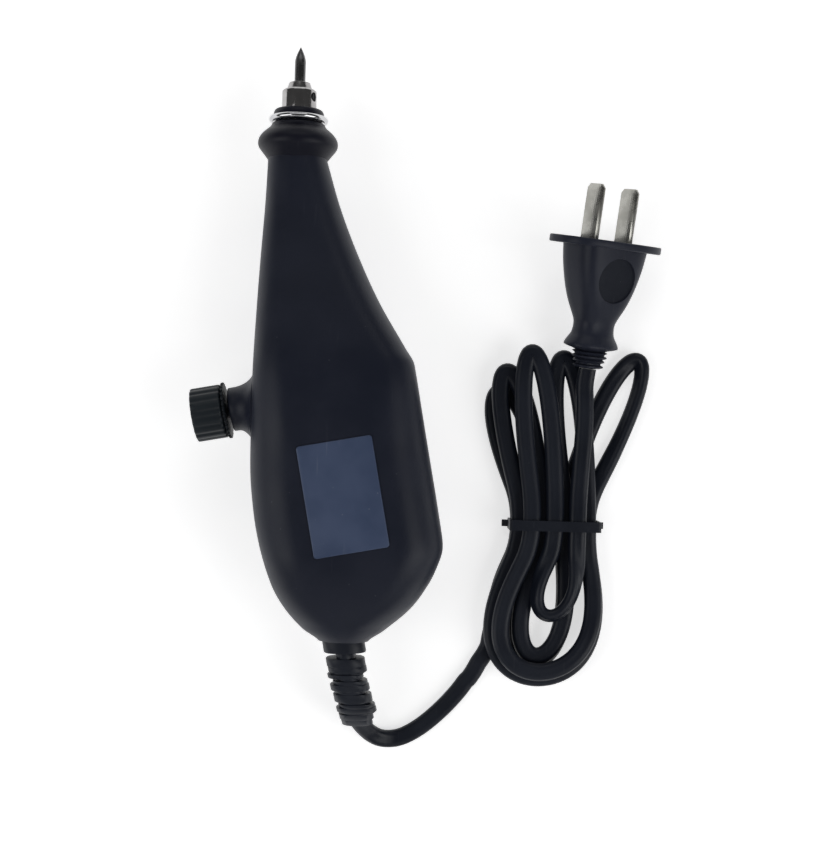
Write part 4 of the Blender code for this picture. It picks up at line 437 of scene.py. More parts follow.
def turn(profile, place, soft=0.0, closed=False, steps=TURN_STEPS):
    """A profile of (radius, height) corners, softened and spun round Z, then moved to its place."""
    bm = bmesh.new()
    corners, _ = chain(bm, [(radius, 0, height) for radius, height in profile], closed)
    if soft:
        soften(bm, corners if closed else corners[1:-1], soft, affect="VERTICES")
    bmesh.ops.spin(
        bm, geom=bm.verts[:] + bm.edges[:], cent=(0, 0, 0), axis=(0, 0, 1), angle=4 * QUARTER, steps=steps,
        use_merge=True,
    )
    bmesh.ops.remove_doubles(bm, verts=bm.verts, dist=MERGE)
    bm.transform(place)
    return bm


def added(into, bm):
    """Puts one bmesh into another."""
    spare = bpy.data.meshes.new("spare")
    bm.to_mesh(spare)
    bm.free()
    into.from_mesh(spare)
    bpy.data.meshes.remove(spare)


def raised(bm, outline, by):
    """Fills an outline, raises it into a plate and gives the raised points."""
    verts, _ = chain(bm, outline, closed=True)
    made = bmesh.ops.extrude_face_region(bm, geom=[bm.faces.new(verts)])["geom"]
    top = [item for item in made if isinstance(item, bmesh.types.BMVert)]
    bmesh.ops.translate(bm, vec=by, verts=top)
    return top


def on_grid(across, along, place, closed=False):
    """A grid of two shares, each point sent to place(u, v). A closed one joins u = 1 to u = 0."""
    bm = bmesh.new()
    bmesh.ops.create_grid(bm, x_segments=across, y_segments=along, size=0.5)
    for vert in bm.verts:
        vert.co = place(vert.co.x + 0.5, vert.co.y + 0.5)
    if closed:
        bmesh.ops.remove_doubles(bm, verts=bm.verts, dist=MERGE)
    return bm


def block(low, high, place, soft, segments=3):
    """A block between two corners with softened edges."""
    bm = bmesh.new()
    bmesh.ops.create_cube(bm, size=1)
    bmesh.ops.scale(bm, vec=Vector(high) - Vector(low), verts=bm.verts)
    bmesh.ops.translate(bm, vec=(Vector(high) + Vector(low)) / 2, verts=bm.verts)
    soften(bm, bm.edges[:], soft, segments)
    bm.transform(place)
    return bm


def sliced(bm, point, normal, clear=False):
    bmesh.ops.bisect_plane(
        bm, geom=bm.verts[:] + bm.edges[:] + bm.faces[:], dist=MERGE, plane_co=point, plane_no=normal,
        clear_inner=clear,
    )


# %% [markdown]
# ## Curves through a few chosen points
# Outlines are read from short tables: a share of the length, and a value there. `curve_value` joins them
# with a smooth curve, and `even_path` walks a chain of points in even steps along such a curve.

# %% Smooth curves
def curve_value(rows, at):
    last = len(rows) - 1
    index = max(i for i in range(last) if rows[i][0] <= at or i == 0)
    (t0, v0), (t1, v1) = rows[index], rows[index + 1]
    before, after = rows[max(index - 1, 0)], rows[min(index + 2, last)]
    span = t1 - t0
    slope0 = (v1 - before[1]) / (t1 - before[0]) * span
    slope1 = (after[1] - v0) / (after[0] - t0) * span
    s = (at - t0) / span
    return (
        (2 * s**3 - 3 * s**2 + 1) * v0 + (s**3 - 2 * s**2 + s) * slope0
        + (3 * s**2 - 2 * s**3) * v1 + (s**3 - s**2) * slope1
    )


def even_path(points, count):
    points = [Vector(point) for point in points]
    lengths = [0.0]
    for first, second in zip(points, points[1:]):
        lengths.append(lengths[-1] + (second - first).length)
    rows = [[(length, point[k]) for length, point in zip(lengths, points)] for k in range(len(points[0]))]
    return [
        Vector([curve_value(row, lengths[-1] * i / (count - 1)) for row in rows])
        for i in range(count)
    ]


# %% [markdown]
# ## Frames of the pen
# Turned parts sit on three axes: the stylus axis along +Y, the knob's axis across the rear body, which is
# bent by eleven degrees, and the axis of the tail where the cord leaves. The plug lies rolled onto the edge
# of its flange.

# %% Frames
GAP = 0.0003
HALF_THICKNESS = 0.019
NECK_FRONT = 0.0835
SHOULDER = 0.0238
TAIL_REAR = -0.0553
TAIL_OFFSET = 0.0171
ADJUSTER_STATION = 0.0147
PLUG_TAIL = Vector((0.0849, 0.0270, 0.0102))
PLUG_TURNS = (("Z", -5.9), ("X", 7.6), ("Y", 34))
shift = Matrix.Translation


def spin(axis, angle):
    return Matrix.Rotation(angle, 4, axis)


STYLUS_FRAME = shift((0, 0, HALF_THICKNESS)) @ spin("X", -QUARTER)
BODY_FRAME = shift((0, 0, HALF_THICKNESS)) @ spin("Z", BODY_BEND)
KNOB_FRAME = BODY_FRAME @ shift((0, ADJUSTER_STATION, 0)) @ spin("Y", QUARTER)
TAIL_POINT = Vector((TAIL_OFFSET, TAIL_REAR, HALF_THICKNESS))
PLUG_FRAME = shift(PLUG_TAIL)
for axis, degrees in PLUG_TURNS:
    PLUG_FRAME = PLUG_FRAME @ spin(axis, math.radians(degrees))

# %% [markdown]
# ## The cord
# The flat twin cord leaves the strain relief, dips to the table, and is wound into a hank of five turns with
# a tie round its waist, up to the plug. All of it is in view, so its length is what the turns measure, a
# little over a metre. A few chosen points give the lead, which starts in the end of the sagging relief.

# %% The cord's sizes and the lead's chosen points
CORD_WIDTH = 0.0052
CORD_THICKNESS = 0.0031
CORD_REST = 0.00175
RELIEF_LENGTH = 0.0270
RELIEF_SHOWN = 0.0264
RELIEF_DROOP = math.radians(50)
LEAD_ROUTE = (
    (0.0222, -0.0782, 0.0084), (0.0234, -0.0799, 0.0066), (0.0254, -0.0820, 0.0043),
    (0.0282, -0.0835, 0.0027), (0.0319, -0.0837, CORD_REST), (0.0355, -0.0825, CORD_REST),
    (0.0405, -0.0793, CORD_REST), (0.0460, -0.0743, CORD_REST), (0.0503, -0.0694, CORD_REST),
    (0.0535, -0.0650, CORD_REST),
)
LEAD_END = Vector((0.0562, -0.0607, CORD_REST))
LEAD_END_TURN = math.radians(60)
LEAD_POINTS = 30


def heading(turned):
    return Vector((math.cos(turned), math.sin(turned), 0))


def relief_point(distance):
    """A place on the strain relief at a distance from the tail, as it sags under the cord."""
    rear = heading(BODY_BEND - QUARTER)
    bend = RELIEF_DROOP * max(distance, 0) / RELIEF_LENGTH
    radius = RELIEF_LENGTH / RELIEF_DROOP
    along = min(distance, 0) + radius * math.sin(bend)
    return TAIL_POINT + rear * along - Vector((0, 0, radius * (1 - math.cos(bend))))


LEAD_HEADING = heading(LEAD_END_TURN)
lead_route = [relief_point(RELIEF_SHOWN - CORD_WIDTH / 2), *LEAD_ROUTE, LEAD_END - LEAD_HEADING * CORD_WIDTH]
lead_points = even_path(lead_route, LEAD_POINTS - 1) + [LEAD_END]
print("lead:", len(lead_points), "points")

# %% [markdown]
# ## The hank's loops
# Each loop is a teardrop: it leaves its slot at the waist, swells, closes at a tip and comes back to another
# slot, and it climbs a layer on the way. A row of shares says where. In two loops the flat cord twists onto
# its edge for a while.

# %% The hank's loops
WAIST = Vector((0.0769, -0.0191))
WAIST_HALF_RUN = 0.0060
STRAND_PITCH = 0.0065
LAYER_PITCH = 0.0038
HANK_TOP = 0.0516
HANK_BOTTOM = 0.0453
HANK_HALF_WIDTH = 0.0143
LOOP_POINTS = 24
EDGE_LIFT = 0.0010
EDGE_EASE_SHARE = 0.22
CLIMB_START_SHARES = (0.26, 0.20, 0.14)
CLIMB_SHARE = 0.20
DESCENT_START_SHARE = 0.70
# Slots and layers at the waist where a loop leaves and comes back, its tip, its half width and its layer
TOP_LOOP_SHARES = (
    ((-1.5, 0), (-0.5, 0), -1.12, 0.76, 0.345, 0),
    ((0.5, 0), (1.5, 0), 1.64, 0.96, 0.345, 0),
    ((-1.5, 1), (-0.5, 1), -1.04, 0.87, 0.28, 1),
    ((0.5, 1), (1.5, 1), 0.11, 0.955, 0.265, 1),
    ((-1.0, 2), (0.0, 2), -0.56, 0.98, 0.26, 2),
)
BOTTOM_LOOP_SHARES = (
    ((-0.5, 0), (0.5, 0), -0.30, 0.90, 0.46, 0),
    ((1.5, 0), (-1.5, 1), -0.26, 1.0, 1.03, 1),
    ((-0.5, 1), (0.5, 1), -0.28, 0.86, 0.44, 1),
    ((1.5, 1), (-1.0, 2), -0.26, 0.95, 0.92, 2),
    ((0.0, 2), (1.0, 2), -0.06, 0.58, 0.36, 2),
)
# Where the cord stands on its edge: which loop, from which share of it to which, and how far it turns
TOP_ON_EDGE = {1: (0.36, 0.97, math.radians(60))}
BOTTOM_ON_EDGE = {4: (0.04, 0.96, math.radians(66))}


def waist_point(slot, layer, run=0.0):
    """A place at the waist, or beside it, by its slot and layer."""
    height = CORD_REST + layer * LAYER_PITCH
    return Vector((WAIST.x + slot * STRAND_PITCH, WAIST.y + run * WAIST_HALF_RUN, height))


def eased(value):
    value = min(max(value, 0.0), 1.0)
    return value * value * (3 - 2 * value)


def loop_points(leave, back, side_share, out_share, width_share, layer, reach, sign, on_edge=None):
    """One loop, with the cord's turn as the fourth number of each point."""
    slots = [waist_point(*leave, sign), waist_point(*back, sign)]
    middle = (slots[0] + slots[1]) / 2
    half_slot = (slots[0] - slots[1]).xy.length / 2
    tip = WAIST + Vector((side_share * HANK_HALF_WIDTH, sign * out_share * reach))
    axis = (tip - middle.xy).to_3d()
    across = Vector((slots[0].x - slots[1].x, 0, 0)).normalized()
    swell = (width_share * HANK_HALF_WIDTH - 0.615 * half_slot) / 0.415
    level = CORD_REST + layer * LAYER_PITCH
    first, last, angle = on_edge or (0.0, 1.0, 0.0)
    points = []
    for i in range(LOOP_POINTS):
        part = (i + 0.5) / LOOP_POINTS
        rise, swing = math.sin(math.pi * part), math.cos(math.pi * part)
        point = middle + axis * rise**1.5 + across * swing * (half_slot + swell * rise**1.65)
        near, far, start = (slots[0].z, level, CLIMB_START_SHARES[layer])
        if part >= 0.5:
            near, far, start = (level, slots[1].z, DESCENT_START_SHARE)
        stands = eased((part - first) / EDGE_EASE_SHARE) * eased((last - part) / EDGE_EASE_SHARE)
        point.z = near + (far - near) * eased((part - start) / CLIMB_SHARE)
        point.z += EDGE_LIFT * stands * math.sin(angle)
        points.append(Vector((*point, angle * stands)))
    return points


# %% [markdown]
# ## The whole centreline
# The way in, five loops at the top, five at the bottom and the way out follow each other. Two rounds of
# averaging take the corners out, and over the tie every strand is lifted a little.

# %% The whole centreline
WAY_IN = ((0.0606, -0.0470), (0.0622, -0.0370))
WAY_OUT = ((0.0841, 0.0000), (0.0847, 0.0120))
WAY_POINTS = 12
TIE_THICKNESS = 0.0006
WAIST_LIFT = TIE_THICKNESS + GAP
top_layer = waist_point(1, 2, 1)
plug_axis = PLUG_FRAME.to_3x3() @ Vector((0, 1, 0))


def flat(points):
    return [Vector((*point, 0.0)) for point in points]


def hank_points():
    start = LEAD_END + LEAD_HEADING * GAP
    end = PLUG_TAIL - plug_axis * GAP
    way_in = [start + LEAD_HEADING * CORD_WIDTH, *((x, y, CORD_REST) for x, y in WAY_IN)]
    way_out = [top_layer, *((x, y, top_layer.z) for x, y in WAY_OUT), end - plug_axis * CORD_WIDTH]
    way_in.append(waist_point(-1.5, 0, -1))
    points = flat(even_path(way_in, WAY_POINTS)) + flat([waist_point(*TOP_LOOP_SHARES[0][0])])
    for i, (top, bottom) in enumerate(zip(TOP_LOOP_SHARES, BOTTOM_LOOP_SHARES)):
        points += loop_points(*top, HANK_TOP, 1, TOP_ON_EDGE.get(i))
        points += flat([waist_point(*top[1])]) + loop_points(*bottom, HANK_BOTTOM, -1, BOTTOM_ON_EDGE.get(i))
        points += flat([waist_point(*bottom[1])])
    points += flat(even_path(way_out, WAY_POINTS))
    for _ in range(2):
        inner = [(a + 2 * b + c) / 4 for a, b, c in zip(points, points[1:], points[2:])]
        points = [points[0]] + inner + [points[-1]]
    points = flat([start]) + points + flat([end])
    for point in points:
        from_waist = (point.y - WAIST.y) / WAIST_HALF_RUN
        point.z += WAIST_LIFT * math.exp(-from_waist * from_waist)
    return points


turned_path = flat(lead_points) + hank_points()
CORD_PATH = [point.to_3d() for point in turned_path]
CORD_LENGTH = sum((b - a).length for a, b in zip(CORD_PATH, CORD_PATH[1:]))
print(f"cord: {CORD_LENGTH * 1000:.0f} mm along {len(CORD_PATH)} points")

# %% [markdown]
# ## The cord's flat section
# Two insulated wires are moulded side by side, so the section is two circles that touch, with the valley
# between them filled to a shallow groove. A curve object sweeps it: bezier points with automatic handles
# round off the path, and the twist mode Z Up keeps the wide side level. It becomes a mesh at the end.

# %% Sweep the cord
WIRE_RADIUS = CORD_THICKNESS / 2
WIRE_OFFSET = CORD_WIDTH / 2 - WIRE_RADIUS
GROOVE_HEIGHT = WIRE_RADIUS * 0.93
SECTION_STEPS = 9
SECTION_REACH = math.radians(104)


def cord_section():
    points = []
    for side in (1, -1):
        for i in range(SECTION_STEPS):
            angle = SECTION_REACH * (2 * i / (SECTION_STEPS - 1) - 1)
            x, y = WIRE_OFFSET + WIRE_RADIUS * math.cos(angle), WIRE_RADIUS * math.sin(angle)
            points.append((side * x, side * y))
        points.append((0.0, side * GROOVE_HEIGHT))
    return points


def curve_of(name, kind, count):
    """A curve object with a spline of so many points, and that spline."""
    curve = bpy.data.curves.new(name, "CURVE")
    curve.dimensions = "3D"
    spline = curve.splines.new(kind)
    (spline.bezier_points if kind == "BEZIER" else spline.points).add(count - 1)
    spline.use_smooth = True
    return linked(name, curve), spline


def plain_mesh(piece):
    """The mesh of a piece as its modifiers or its sweep leave it."""
    bpy.context.view_layer.update()
    return bpy.data.meshes.new_from_object(piece.evaluated_get(bpy.context.evaluated_depsgraph_get()))


section, section_spline = curve_of("cord_section", "POLY", 2 * SECTION_STEPS + 2)
section_spline.use_cyclic_u = True
for knot, point in zip(section_spline.points, cord_section()):
    knot.co = (*point, 0, 1)
sweep, sweep_spline = curve_of("cord_sweep", "BEZIER", len(turned_path))
sweep_spline.resolution_u = 3
for knot, point in zip(sweep_spline.bezier_points, turned_path):
    knot.co = point.xyz
    knot.handle_left_type = knot.handle_right_type = "AUTO"
    knot.tilt = point[3]
sweep.data.twist_mode = "Z_UP"
sweep.data.bevel_mode = "OBJECT"
sweep.data.bevel_object = section
sweep.data.use_fill_caps = True
cord_bm = bmesh.new()
cord_bm.from_mesh(plain_mesh(sweep))
for helper in (sweep, section):
    bpy.data.objects.remove(helper)
cord = finish_piece("flat_cord", cord_bm, CORD_VINYL, "black_rubber", ("cord_lead", "cord_hank"))

# %% [markdown]
# ## The tie
# A thin black strap goes once round the waist of the hank, and its two ends stand out a little at the sides.
# Its loop is a rounded rectangle drawn as a chain of edges, widened into a band and thickened inwards,
# because a real strap has the same thickness all round.

# %% Strap round the waist
TIE_WIDTH = 0.0030
TIE_TAB = 0.0030
TIE_ROOM = 0.0006
TAB_DROOP = math.radians(16)
CORNER_POINTS = 6
tie_half = 1.5 * STRAND_PITCH + CORD_WIDTH / 2 + TIE_ROOM
tie_bottom = CORD_REST + WAIST_LIFT - WIRE_RADIUS - GAP
tie_top = top_layer.z + WAIST_LIFT + WIRE_RADIUS + GAP
tie_middle = Vector((WAIST.x, WAIST.y, (tie_top + tie_bottom) / 2))
tie_rise = (tie_top - tie_bottom) / 2


def rounded(half_width, half_height, corner):
    """Corners of a rounded rectangle, anticlockwise."""
    points = []
    for across, up, quarters in ((1, 1, 0), (-1, 1, 1), (-1, -1, 2), (1, -1, 3)):
        centre = (across * (half_width - corner), up * (half_height - corner))
        points += arc(centre, corner, corner, quarters, quarters + 1, CORNER_POINTS)
    return points


def strap():
    """The band and its two short ends."""
    bm = bmesh.new()
    outline = rounded(tie_half + TIE_THICKNESS / 2, tie_rise + TIE_THICKNESS / 2, TIE_THICKNESS * 1.5)
    _, edges = chain(bm, [tie_middle + Vector((x, -TIE_WIDTH / 2, z)) for x, z in outline], closed=True)
    made = bmesh.ops.extrude_edge_only(bm, edges=edges)["geom"]
    moved = [item for item in made if isinstance(item, bmesh.types.BMVert)]
    bmesh.ops.translate(bm, vec=(0, TIE_WIDTH, 0), verts=moved)
    bmesh.ops.recalc_face_normals(bm, faces=bm.faces)
    bmesh.ops.solidify(bm, geom=bm.faces[:], thickness=TIE_THICKNESS * 0.9)
    for sign in (-1, 1):
        near, far = sorted((sign * tie_half, sign * (tie_half + TIE_TAB - GAP)))
        added(bm, block(
            (near, -TIE_WIDTH / 3, -TIE_THICKNESS), (far, TIE_WIDTH / 3, 0),
            shift(tie_middle) @ spin("Y", sign * TAB_DROOP), TIE_THICKNESS / 4,
        ))
    return bm


tie = finish_piece("hank_strap", strap(), CORD_VINYL, "black_rubber", ("hank_tie",))

# %% [markdown]
# ## The plug
# A moulded plug is one piece of vinyl: a ribbed tail that bends with the cord, a ridge to pull by, and a body
# that widens to a thin flange. Its form is a grid wrapped round an oval whose width and depth follow a short
# table.

# %% Plug body
PLUG_LENGTH = 0.0368
PLUG_HALF_WIDTH = 0.0134
PLUG_HALF_DEPTH = 0.0083
FLANGE_HALF_WIDTH = 0.0173
FLANGE_HALF_DEPTH = 0.0108
FLANGE_THICKNESS = 0.0021
FLANGE_EDGE = 0.0004
FLANGE_ROUNDNESS = 0.75
TAIL_ROUNDNESS = 0.86
BODY_ROUNDNESS = 0.50
TAIL_RIB_SHARE = 0.145
TAIL_RIBS = 4
TAIL_GROOVE = 0.0009
OVAL_STEPS = 96
# Share of the plug's length, then shares of its half width and half depth
PLUG_SHARES = (
    (0.0, 0.33, 0.44), (0.05, 0.36, 0.47), (0.10, 0.40, 0.52), (0.148, 0.42, 0.54), (0.156, 0.50, 0.64),
    (0.166, 0.60, 0.76), (0.19, 0.605, 0.765), (0.225, 0.55, 0.70), (0.265, 0.48, 0.61), (0.32, 0.445, 0.57),
    (0.37, 0.445, 0.585), (0.50, 0.57, 0.75), (0.63, 0.69, 0.87), (0.80, 0.81, 0.945), (0.955, 0.875, 0.98),
)
PLUG_WIDTHS = [(row[0], row[1] * PLUG_HALF_WIDTH) for row in PLUG_SHARES]
PLUG_DEPTHS = [(row[0], row[2] * PLUG_HALF_DEPTH) for row in PLUG_SHARES]


def signed_power(value, power):
    return math.copysign(abs(value) ** power, value)


def oval(turn_share, roundness):
    """Across and up on an oval of size one. The smaller its roundness, the flatter its sides."""
    angle = 2 * math.pi * turn_share
    return signed_power(math.cos(angle), roundness), signed_power(math.sin(angle), roundness)


def plug_surface(u, v):
    station = v * PLUG_SHARES[-1][0]
    wide, deep = curve_value(PLUG_WIDTHS, station), curve_value(PLUG_DEPTHS, station)
    if station < TAIL_RIB_SHARE:
        wave = math.cos(2 * math.pi * TAIL_RIBS * station / TAIL_RIB_SHARE)
        groove = eased((wave + 0.15) / 0.5) * TAIL_GROOVE
        wide, deep = wide - groove, deep - groove
    squared = eased((station - 0.20) / 0.35)
    x, z = oval(u, TAIL_ROUNDNESS + (BODY_ROUNDNESS - TAIL_ROUNDNESS) * squared)
    return Vector((wide * x, station * PLUG_LENGTH, deep * z))


def ends_filled(bm):
    """Closes the open rims of a tube-like mesh."""
    rims = [edge for edge in bm.edges if edge.is_boundary]
    bmesh.ops.holes_fill(bm, edges=rims, sides=0)
    return bm


def flange():
    bm = bmesh.new()
    ring = [oval(i / OVAL_STEPS, FLANGE_ROUNDNESS) for i in range(OVAL_STEPS)]
    near = PLUG_LENGTH - FLANGE_THICKNESS
    ring = [(x * FLANGE_HALF_WIDTH, near, z * FLANGE_HALF_DEPTH) for x, z in ring]
    raised(bm, ring, (0, FLANGE_THICKNESS, 0))
    soften(bm, [edge for edge in bm.edges if edge.calc_face_angle(0) > 1.0], FLANGE_EDGE)
    return bm


plug_bm = ends_filled(on_grid(OVAL_STEPS, 90, plug_surface, closed=True))
added(plug_bm, flange())
plug_bm.transform(PLUG_FRAME)
plug = finish_piece("moulded_plug", plug_bm, PLUG_VINYL, "black_rubber", ("plug_body",), sharp=32)

# %% [markdown]
# ## The plug's recess
# A shallow round recess lies in each broad side. A Boolean cuts it with a lathe shape that is tilted like the
# side itself, and its floor takes a duller finish.

# %% Recess on both broad sides, cut with a Boolean
def cut_away(piece, shapes, sharp=32):
    """Cuts shapes out of a piece, and leaves a plain mesh."""
    cutters = [linked(f"cutter_{i}", mesh_from(shape, f"cutter_{i}")) for i, shape in enumerate(shapes)]
    for other in cutters:
        change = piece.modifiers.new("Cut", "BOOLEAN")
        change.operation = "DIFFERENCE"
        change.solver = "EXACT"
        change.object = other
    done = plain_mesh(piece)
    piece.modifiers.clear()
    piece.data = done
    done.shade_smooth()
    done.set_sharp_from_angle(angle=math.radians(sharp))
    for other in cutters:
        bpy.data.objects.remove(other)
    print(f"{piece.name}: {len(done.polygons)} faces after the cuts")


RECESS_RADIUS = 0.0067
RECESS_DEPTH = 0.0009
RECESS_EDGE = 0.0002
RECESS_SHARE = 0.70
RECESS_SPAN = 0.12
recess_face = curve_value(PLUG_DEPTHS, RECESS_SHARE)
recess_ends = [curve_value(PLUG_DEPTHS, RECESS_SHARE + sign * RECESS_SPAN) for sign in (-1, 1)]
recess_tilt = math.atan2(recess_ends[1] - recess_ends[0], 2 * RECESS_SPAN * PLUG_LENGTH)
recess_profile = (
    (0, -RECESS_DEPTH), (RECESS_RADIUS - RECESS_DEPTH / 3, -RECESS_DEPTH), (RECESS_RADIUS, WIRE_RADIUS),
    (0, WIRE_RADIUS),
)
recess_frame = shift((0, RECESS_SHARE * PLUG_LENGTH, recess_face)) @ spin("X", recess_tilt)
recess_places = [PLUG_FRAME @ spin("Y", flip) @ recess_frame for flip in (0, math.pi)]
cut_away(plug, [turn(recess_profile, place, soft=RECESS_EDGE) for place in recess_places])
plug.data.materials.append(RECESS_VINYL)
for face in plug.data.polygons:
    for place in recess_places:
        spot = place.inverted() @ face.center
        if spot.xy.length < RECESS_RADIUS and abs(spot.z + RECESS_DEPTH) < GAP / 3:
            face.material_index = 1

# %% [markdown]
# ## Blades
# Two flat blades of nickel-plated brass, twelve and seven tenths millimetres apart. Their long edges are
# barely broken and their tips are drawn in on all sides, so that they find the outlet's slots.

# %% Two blades
BLADE_WIDTH = 0.00635
BLADE_THICKNESS = 0.0015
BLADE_SPACING = 0.0127
BLADE_LENGTH = 0.0155
BLADE_TIP = 0.0012
BLADE_ROOT = 0.0010
BLADE_EDGE = 0.00012


def blade(sign):
    low = (-BLADE_THICKNESS / 2, -BLADE_ROOT, -BLADE_WIDTH / 2)
    high = (BLADE_THICKNESS / 2, BLADE_LENGTH, BLADE_WIDTH / 2)
    bm = block(low, high, Matrix(), BLADE_EDGE, segments=2)
    sliced(bm, (0, BLADE_LENGTH - BLADE_TIP, 0), (0, 1, 0))
    for vert in bm.verts:
        drawn = max(0.0, (vert.co.y - BLADE_LENGTH + BLADE_TIP) / BLADE_TIP)
        vert.co.x *= 1 - 0.45 * drawn
        vert.co.z *= 1 - 0.26 * drawn
    bm.transform(PLUG_FRAME @ shift((sign * BLADE_SPACING / 2, PLUG_LENGTH, 0)))
    return bm


blades = [
    finish_piece(f"blade_{side}", blade(sign), NICKEL, "nickel", ("plug_pin_" + side,))
    for side, sign in (("left", -1), ("right", 1))
]

# %% [markdown]
# ## Strain relief
# A soft moulding bends with the cord and spreads the bend over its length. It is a collar against the
# housing, then a row of ribs with slots cut in from both sides, left and right not quite level. The rings
# follow the sagging line of the cord but stand upright, as a two-part mould needs them, and each rib takes
# four rings: two close together at either end round its corners.

# %% Slotted relief
RELIEF_STEPS = 72
RELIEF_EASE = 0.00018
RELIEF_ROUNDNESS = 0.8
RELIEF_RADIUS = 0.0054
RELIEF_FRONT = -0.0042
RELIEF_SIDE_TURN = math.radians(2)
RELIEF_HEIGHT_SHARES = ((-0.2, 1.0), (0.37, 0.97), (0.75, 0.90), (1.0, 0.82))
# Share of the relief's length where a rib or slot ends, its shares of the radius left and right, its height
RELIEF_RING_SHARES = (
    (0.020, 1.04, 1.18, 1.00), (0.080, 0.44, 0.61, 0.96), (0.170, 1.00, 1.04, 1.00),
    (0.232, 0.97, 1.06, 1.00), (0.252, 0.93, 0.92, 0.93), (0.300, 1.06, 0.82, 1.00),
    (0.326, 0.54, 0.72, 0.97), (0.374, 0.84, 0.98, 1.00), (0.448, 1.03, 1.03, 1.00),
    (0.489, 0.82, 0.82, 0.99), (0.596, 0.96, 1.06, 1.00), (0.624, 0.64, 0.92, 0.97),
    (0.675, 0.80, 1.14, 1.00), (0.748, 0.96, 1.16, 1.00), (0.775, 0.76, 1.04, 0.98),
    (0.870, 0.90, 0.92, 1.00), (RELIEF_SHOWN / RELIEF_LENGTH, 0.86, 0.80, 1.00),
)
relief_side = heading(RELIEF_SIDE_TURN)


def relief_rows():
    """Rows of distance, reach to the left, reach to the right and half height, with the corners rounded."""
    rows, start = [], RELIEF_FRONT
    for end_share, left, right, tall in RELIEF_RING_SHARES:
        end = end_share * RELIEF_LENGTH
        tall *= curve_value(RELIEF_HEIGHT_SHARES, start / RELIEF_LENGTH)
        full = [share * RELIEF_RADIUS for share in (left, right, tall)]
        soft = [full[0] - RELIEF_EASE, full[1] - RELIEF_EASE, full[2] - RELIEF_EASE / 8]
        rows += [(start + GAP / 10, *soft), (start + RELIEF_EASE, *full)]
        rows += [(end - RELIEF_EASE, *full), (end - GAP / 10, *soft)]
        start = end
    return [(rows[0][0], 0.0, 0.0, 0.0), *rows, (rows[-1][0], 0.0, 0.0, 0.0)]


rings = relief_rows()


def relief_place(u, v):
    distance, left, right, upright = rings[round(v * (len(rings) - 1))]
    across, rise = oval(u, RELIEF_ROUNDNESS)
    sideways = (right if across > 0 else left) * across
    return relief_point(distance) + relief_side * sideways + Vector((0, 0, upright * rise))


relief_bm = on_grid(RELIEF_STEPS, len(rings) - 1, relief_place, closed=True)
finish_piece("slotted_relief", relief_bm, CORD_VINYL, "black_rubber", ("strain_relief",))

# %% [markdown]
# ## The cord's points
# The cord's first point and the points of its path, as tuples.

tuple(CORD_PATH[0])
[tuple(point) for point in CORD_PATH]

# %% [markdown]
# ## Housing
# Two moulded halves meet at mid thickness. The form is a neck that grows into a broad rear body, bent to one
# side, flat above and below, with round sides and a round tail. Its outline is kept as shares, so that the
# whole form follows when one of its few sizes changes.

# %% The housing's outline in shares
NECK_RADIUS = 0.00825
LEFT_REACH = 0.0101
RIGHT_REACH = 0.0444
TAIL_RADIUS = 0.0064
TAPER_SHARE = 0.43
# Share of the length, then how far the side has grown and how far it has closed again
LEFT_SHARES = (
    (0.0, 0.0, 0.0), (0.08, 0.135, 0.0), (0.226, 0.56, 0.0), (0.374, 0.82, 0.0),
    (0.50, 0.957, 0.0), (0.60, 1.0, 0.0), (0.67, 1.0, 0.023), (0.769, 1.0, 0.126),
    (0.867, 1.0, 0.327), (0.916, 1.0, 0.513), (0.955, 1.0, 0.745), (0.976, 1.0, 0.96), (1.0, 1.0, 1.0),
)
RIGHT_SHARES = (
    (0.0, 0.0, 0.0), (0.097, 0.117, 0.0), (0.194, 0.267, 0.0), (0.292, 0.449, 0.0),
    (0.385, 0.665, 0.0), (0.41, 0.727, 0.0), (0.43, 0.747, 0.0), (0.52, 0.813, 0.0),
    (0.74, 0.975, 0.0), (0.785, 1.0, 0.008), (0.82, 1.0, 0.073), (0.856, 1.0, 0.180),
    (0.907, 1.0, 0.408), (0.955, 1.0, 0.755), (0.976, 1.0, 0.96), (1.0, 1.0, 1.0),
)
# Share of the length, then how far the half thickness has grown and closed, then how soft the corners are
HEIGHT_SHARES = (
    (0.0, 0.0, 0.0, 0.92), (0.10, 0.12, 0.0, 0.82), (0.20, 0.34, 0.0, 0.68), (0.30, 0.62, 0.0, 0.57),
    (0.39, 0.86, 0.0, 0.50), (0.45, 0.97, 0.0, 0.50), (0.52, 1.0, 0.0, 0.56), (0.58, 1.0, 0.0, 0.62),
    (0.80, 1.0, 0.0, 0.62), (0.86, 1.0, 0.10, 0.66), (0.916, 1.0, 0.30, 0.74), (0.963, 1.0, 0.60, 0.86),
    (1.0, 1.0, 1.0, 0.92),
)


def grown(rows, start, full, end):
    return [(row[0], start + row[1] * (full - start) + row[2] * (end - full)) for row in rows]


LEFT_SIDE = grown(LEFT_SHARES, -NECK_RADIUS, -LEFT_REACH, TAIL_OFFSET - TAIL_RADIUS)
RIGHT_SIDE = grown(RIGHT_SHARES, NECK_RADIUS, RIGHT_REACH, TAIL_OFFSET + TAIL_RADIUS)
HALF_HEIGHT = grown(HEIGHT_SHARES, NECK_RADIUS, HALF_THICKNESS, TAIL_RADIUS)
SOFTNESS = [(row[0], row[3]) for row in HEIGHT_SHARES]


def half_height(station):
    return min(curve_value(HALF_HEIGHT, station), HALF_THICKNESS)


def station_y(station):
    if station < TAPER_SHARE:
        return NECK_FRONT - (NECK_FRONT - SHOULDER) * station / TAPER_SHARE
    return SHOULDER - (SHOULDER - TAIL_REAR) * (station - TAPER_SHARE) / (1 - TAPER_SHARE)


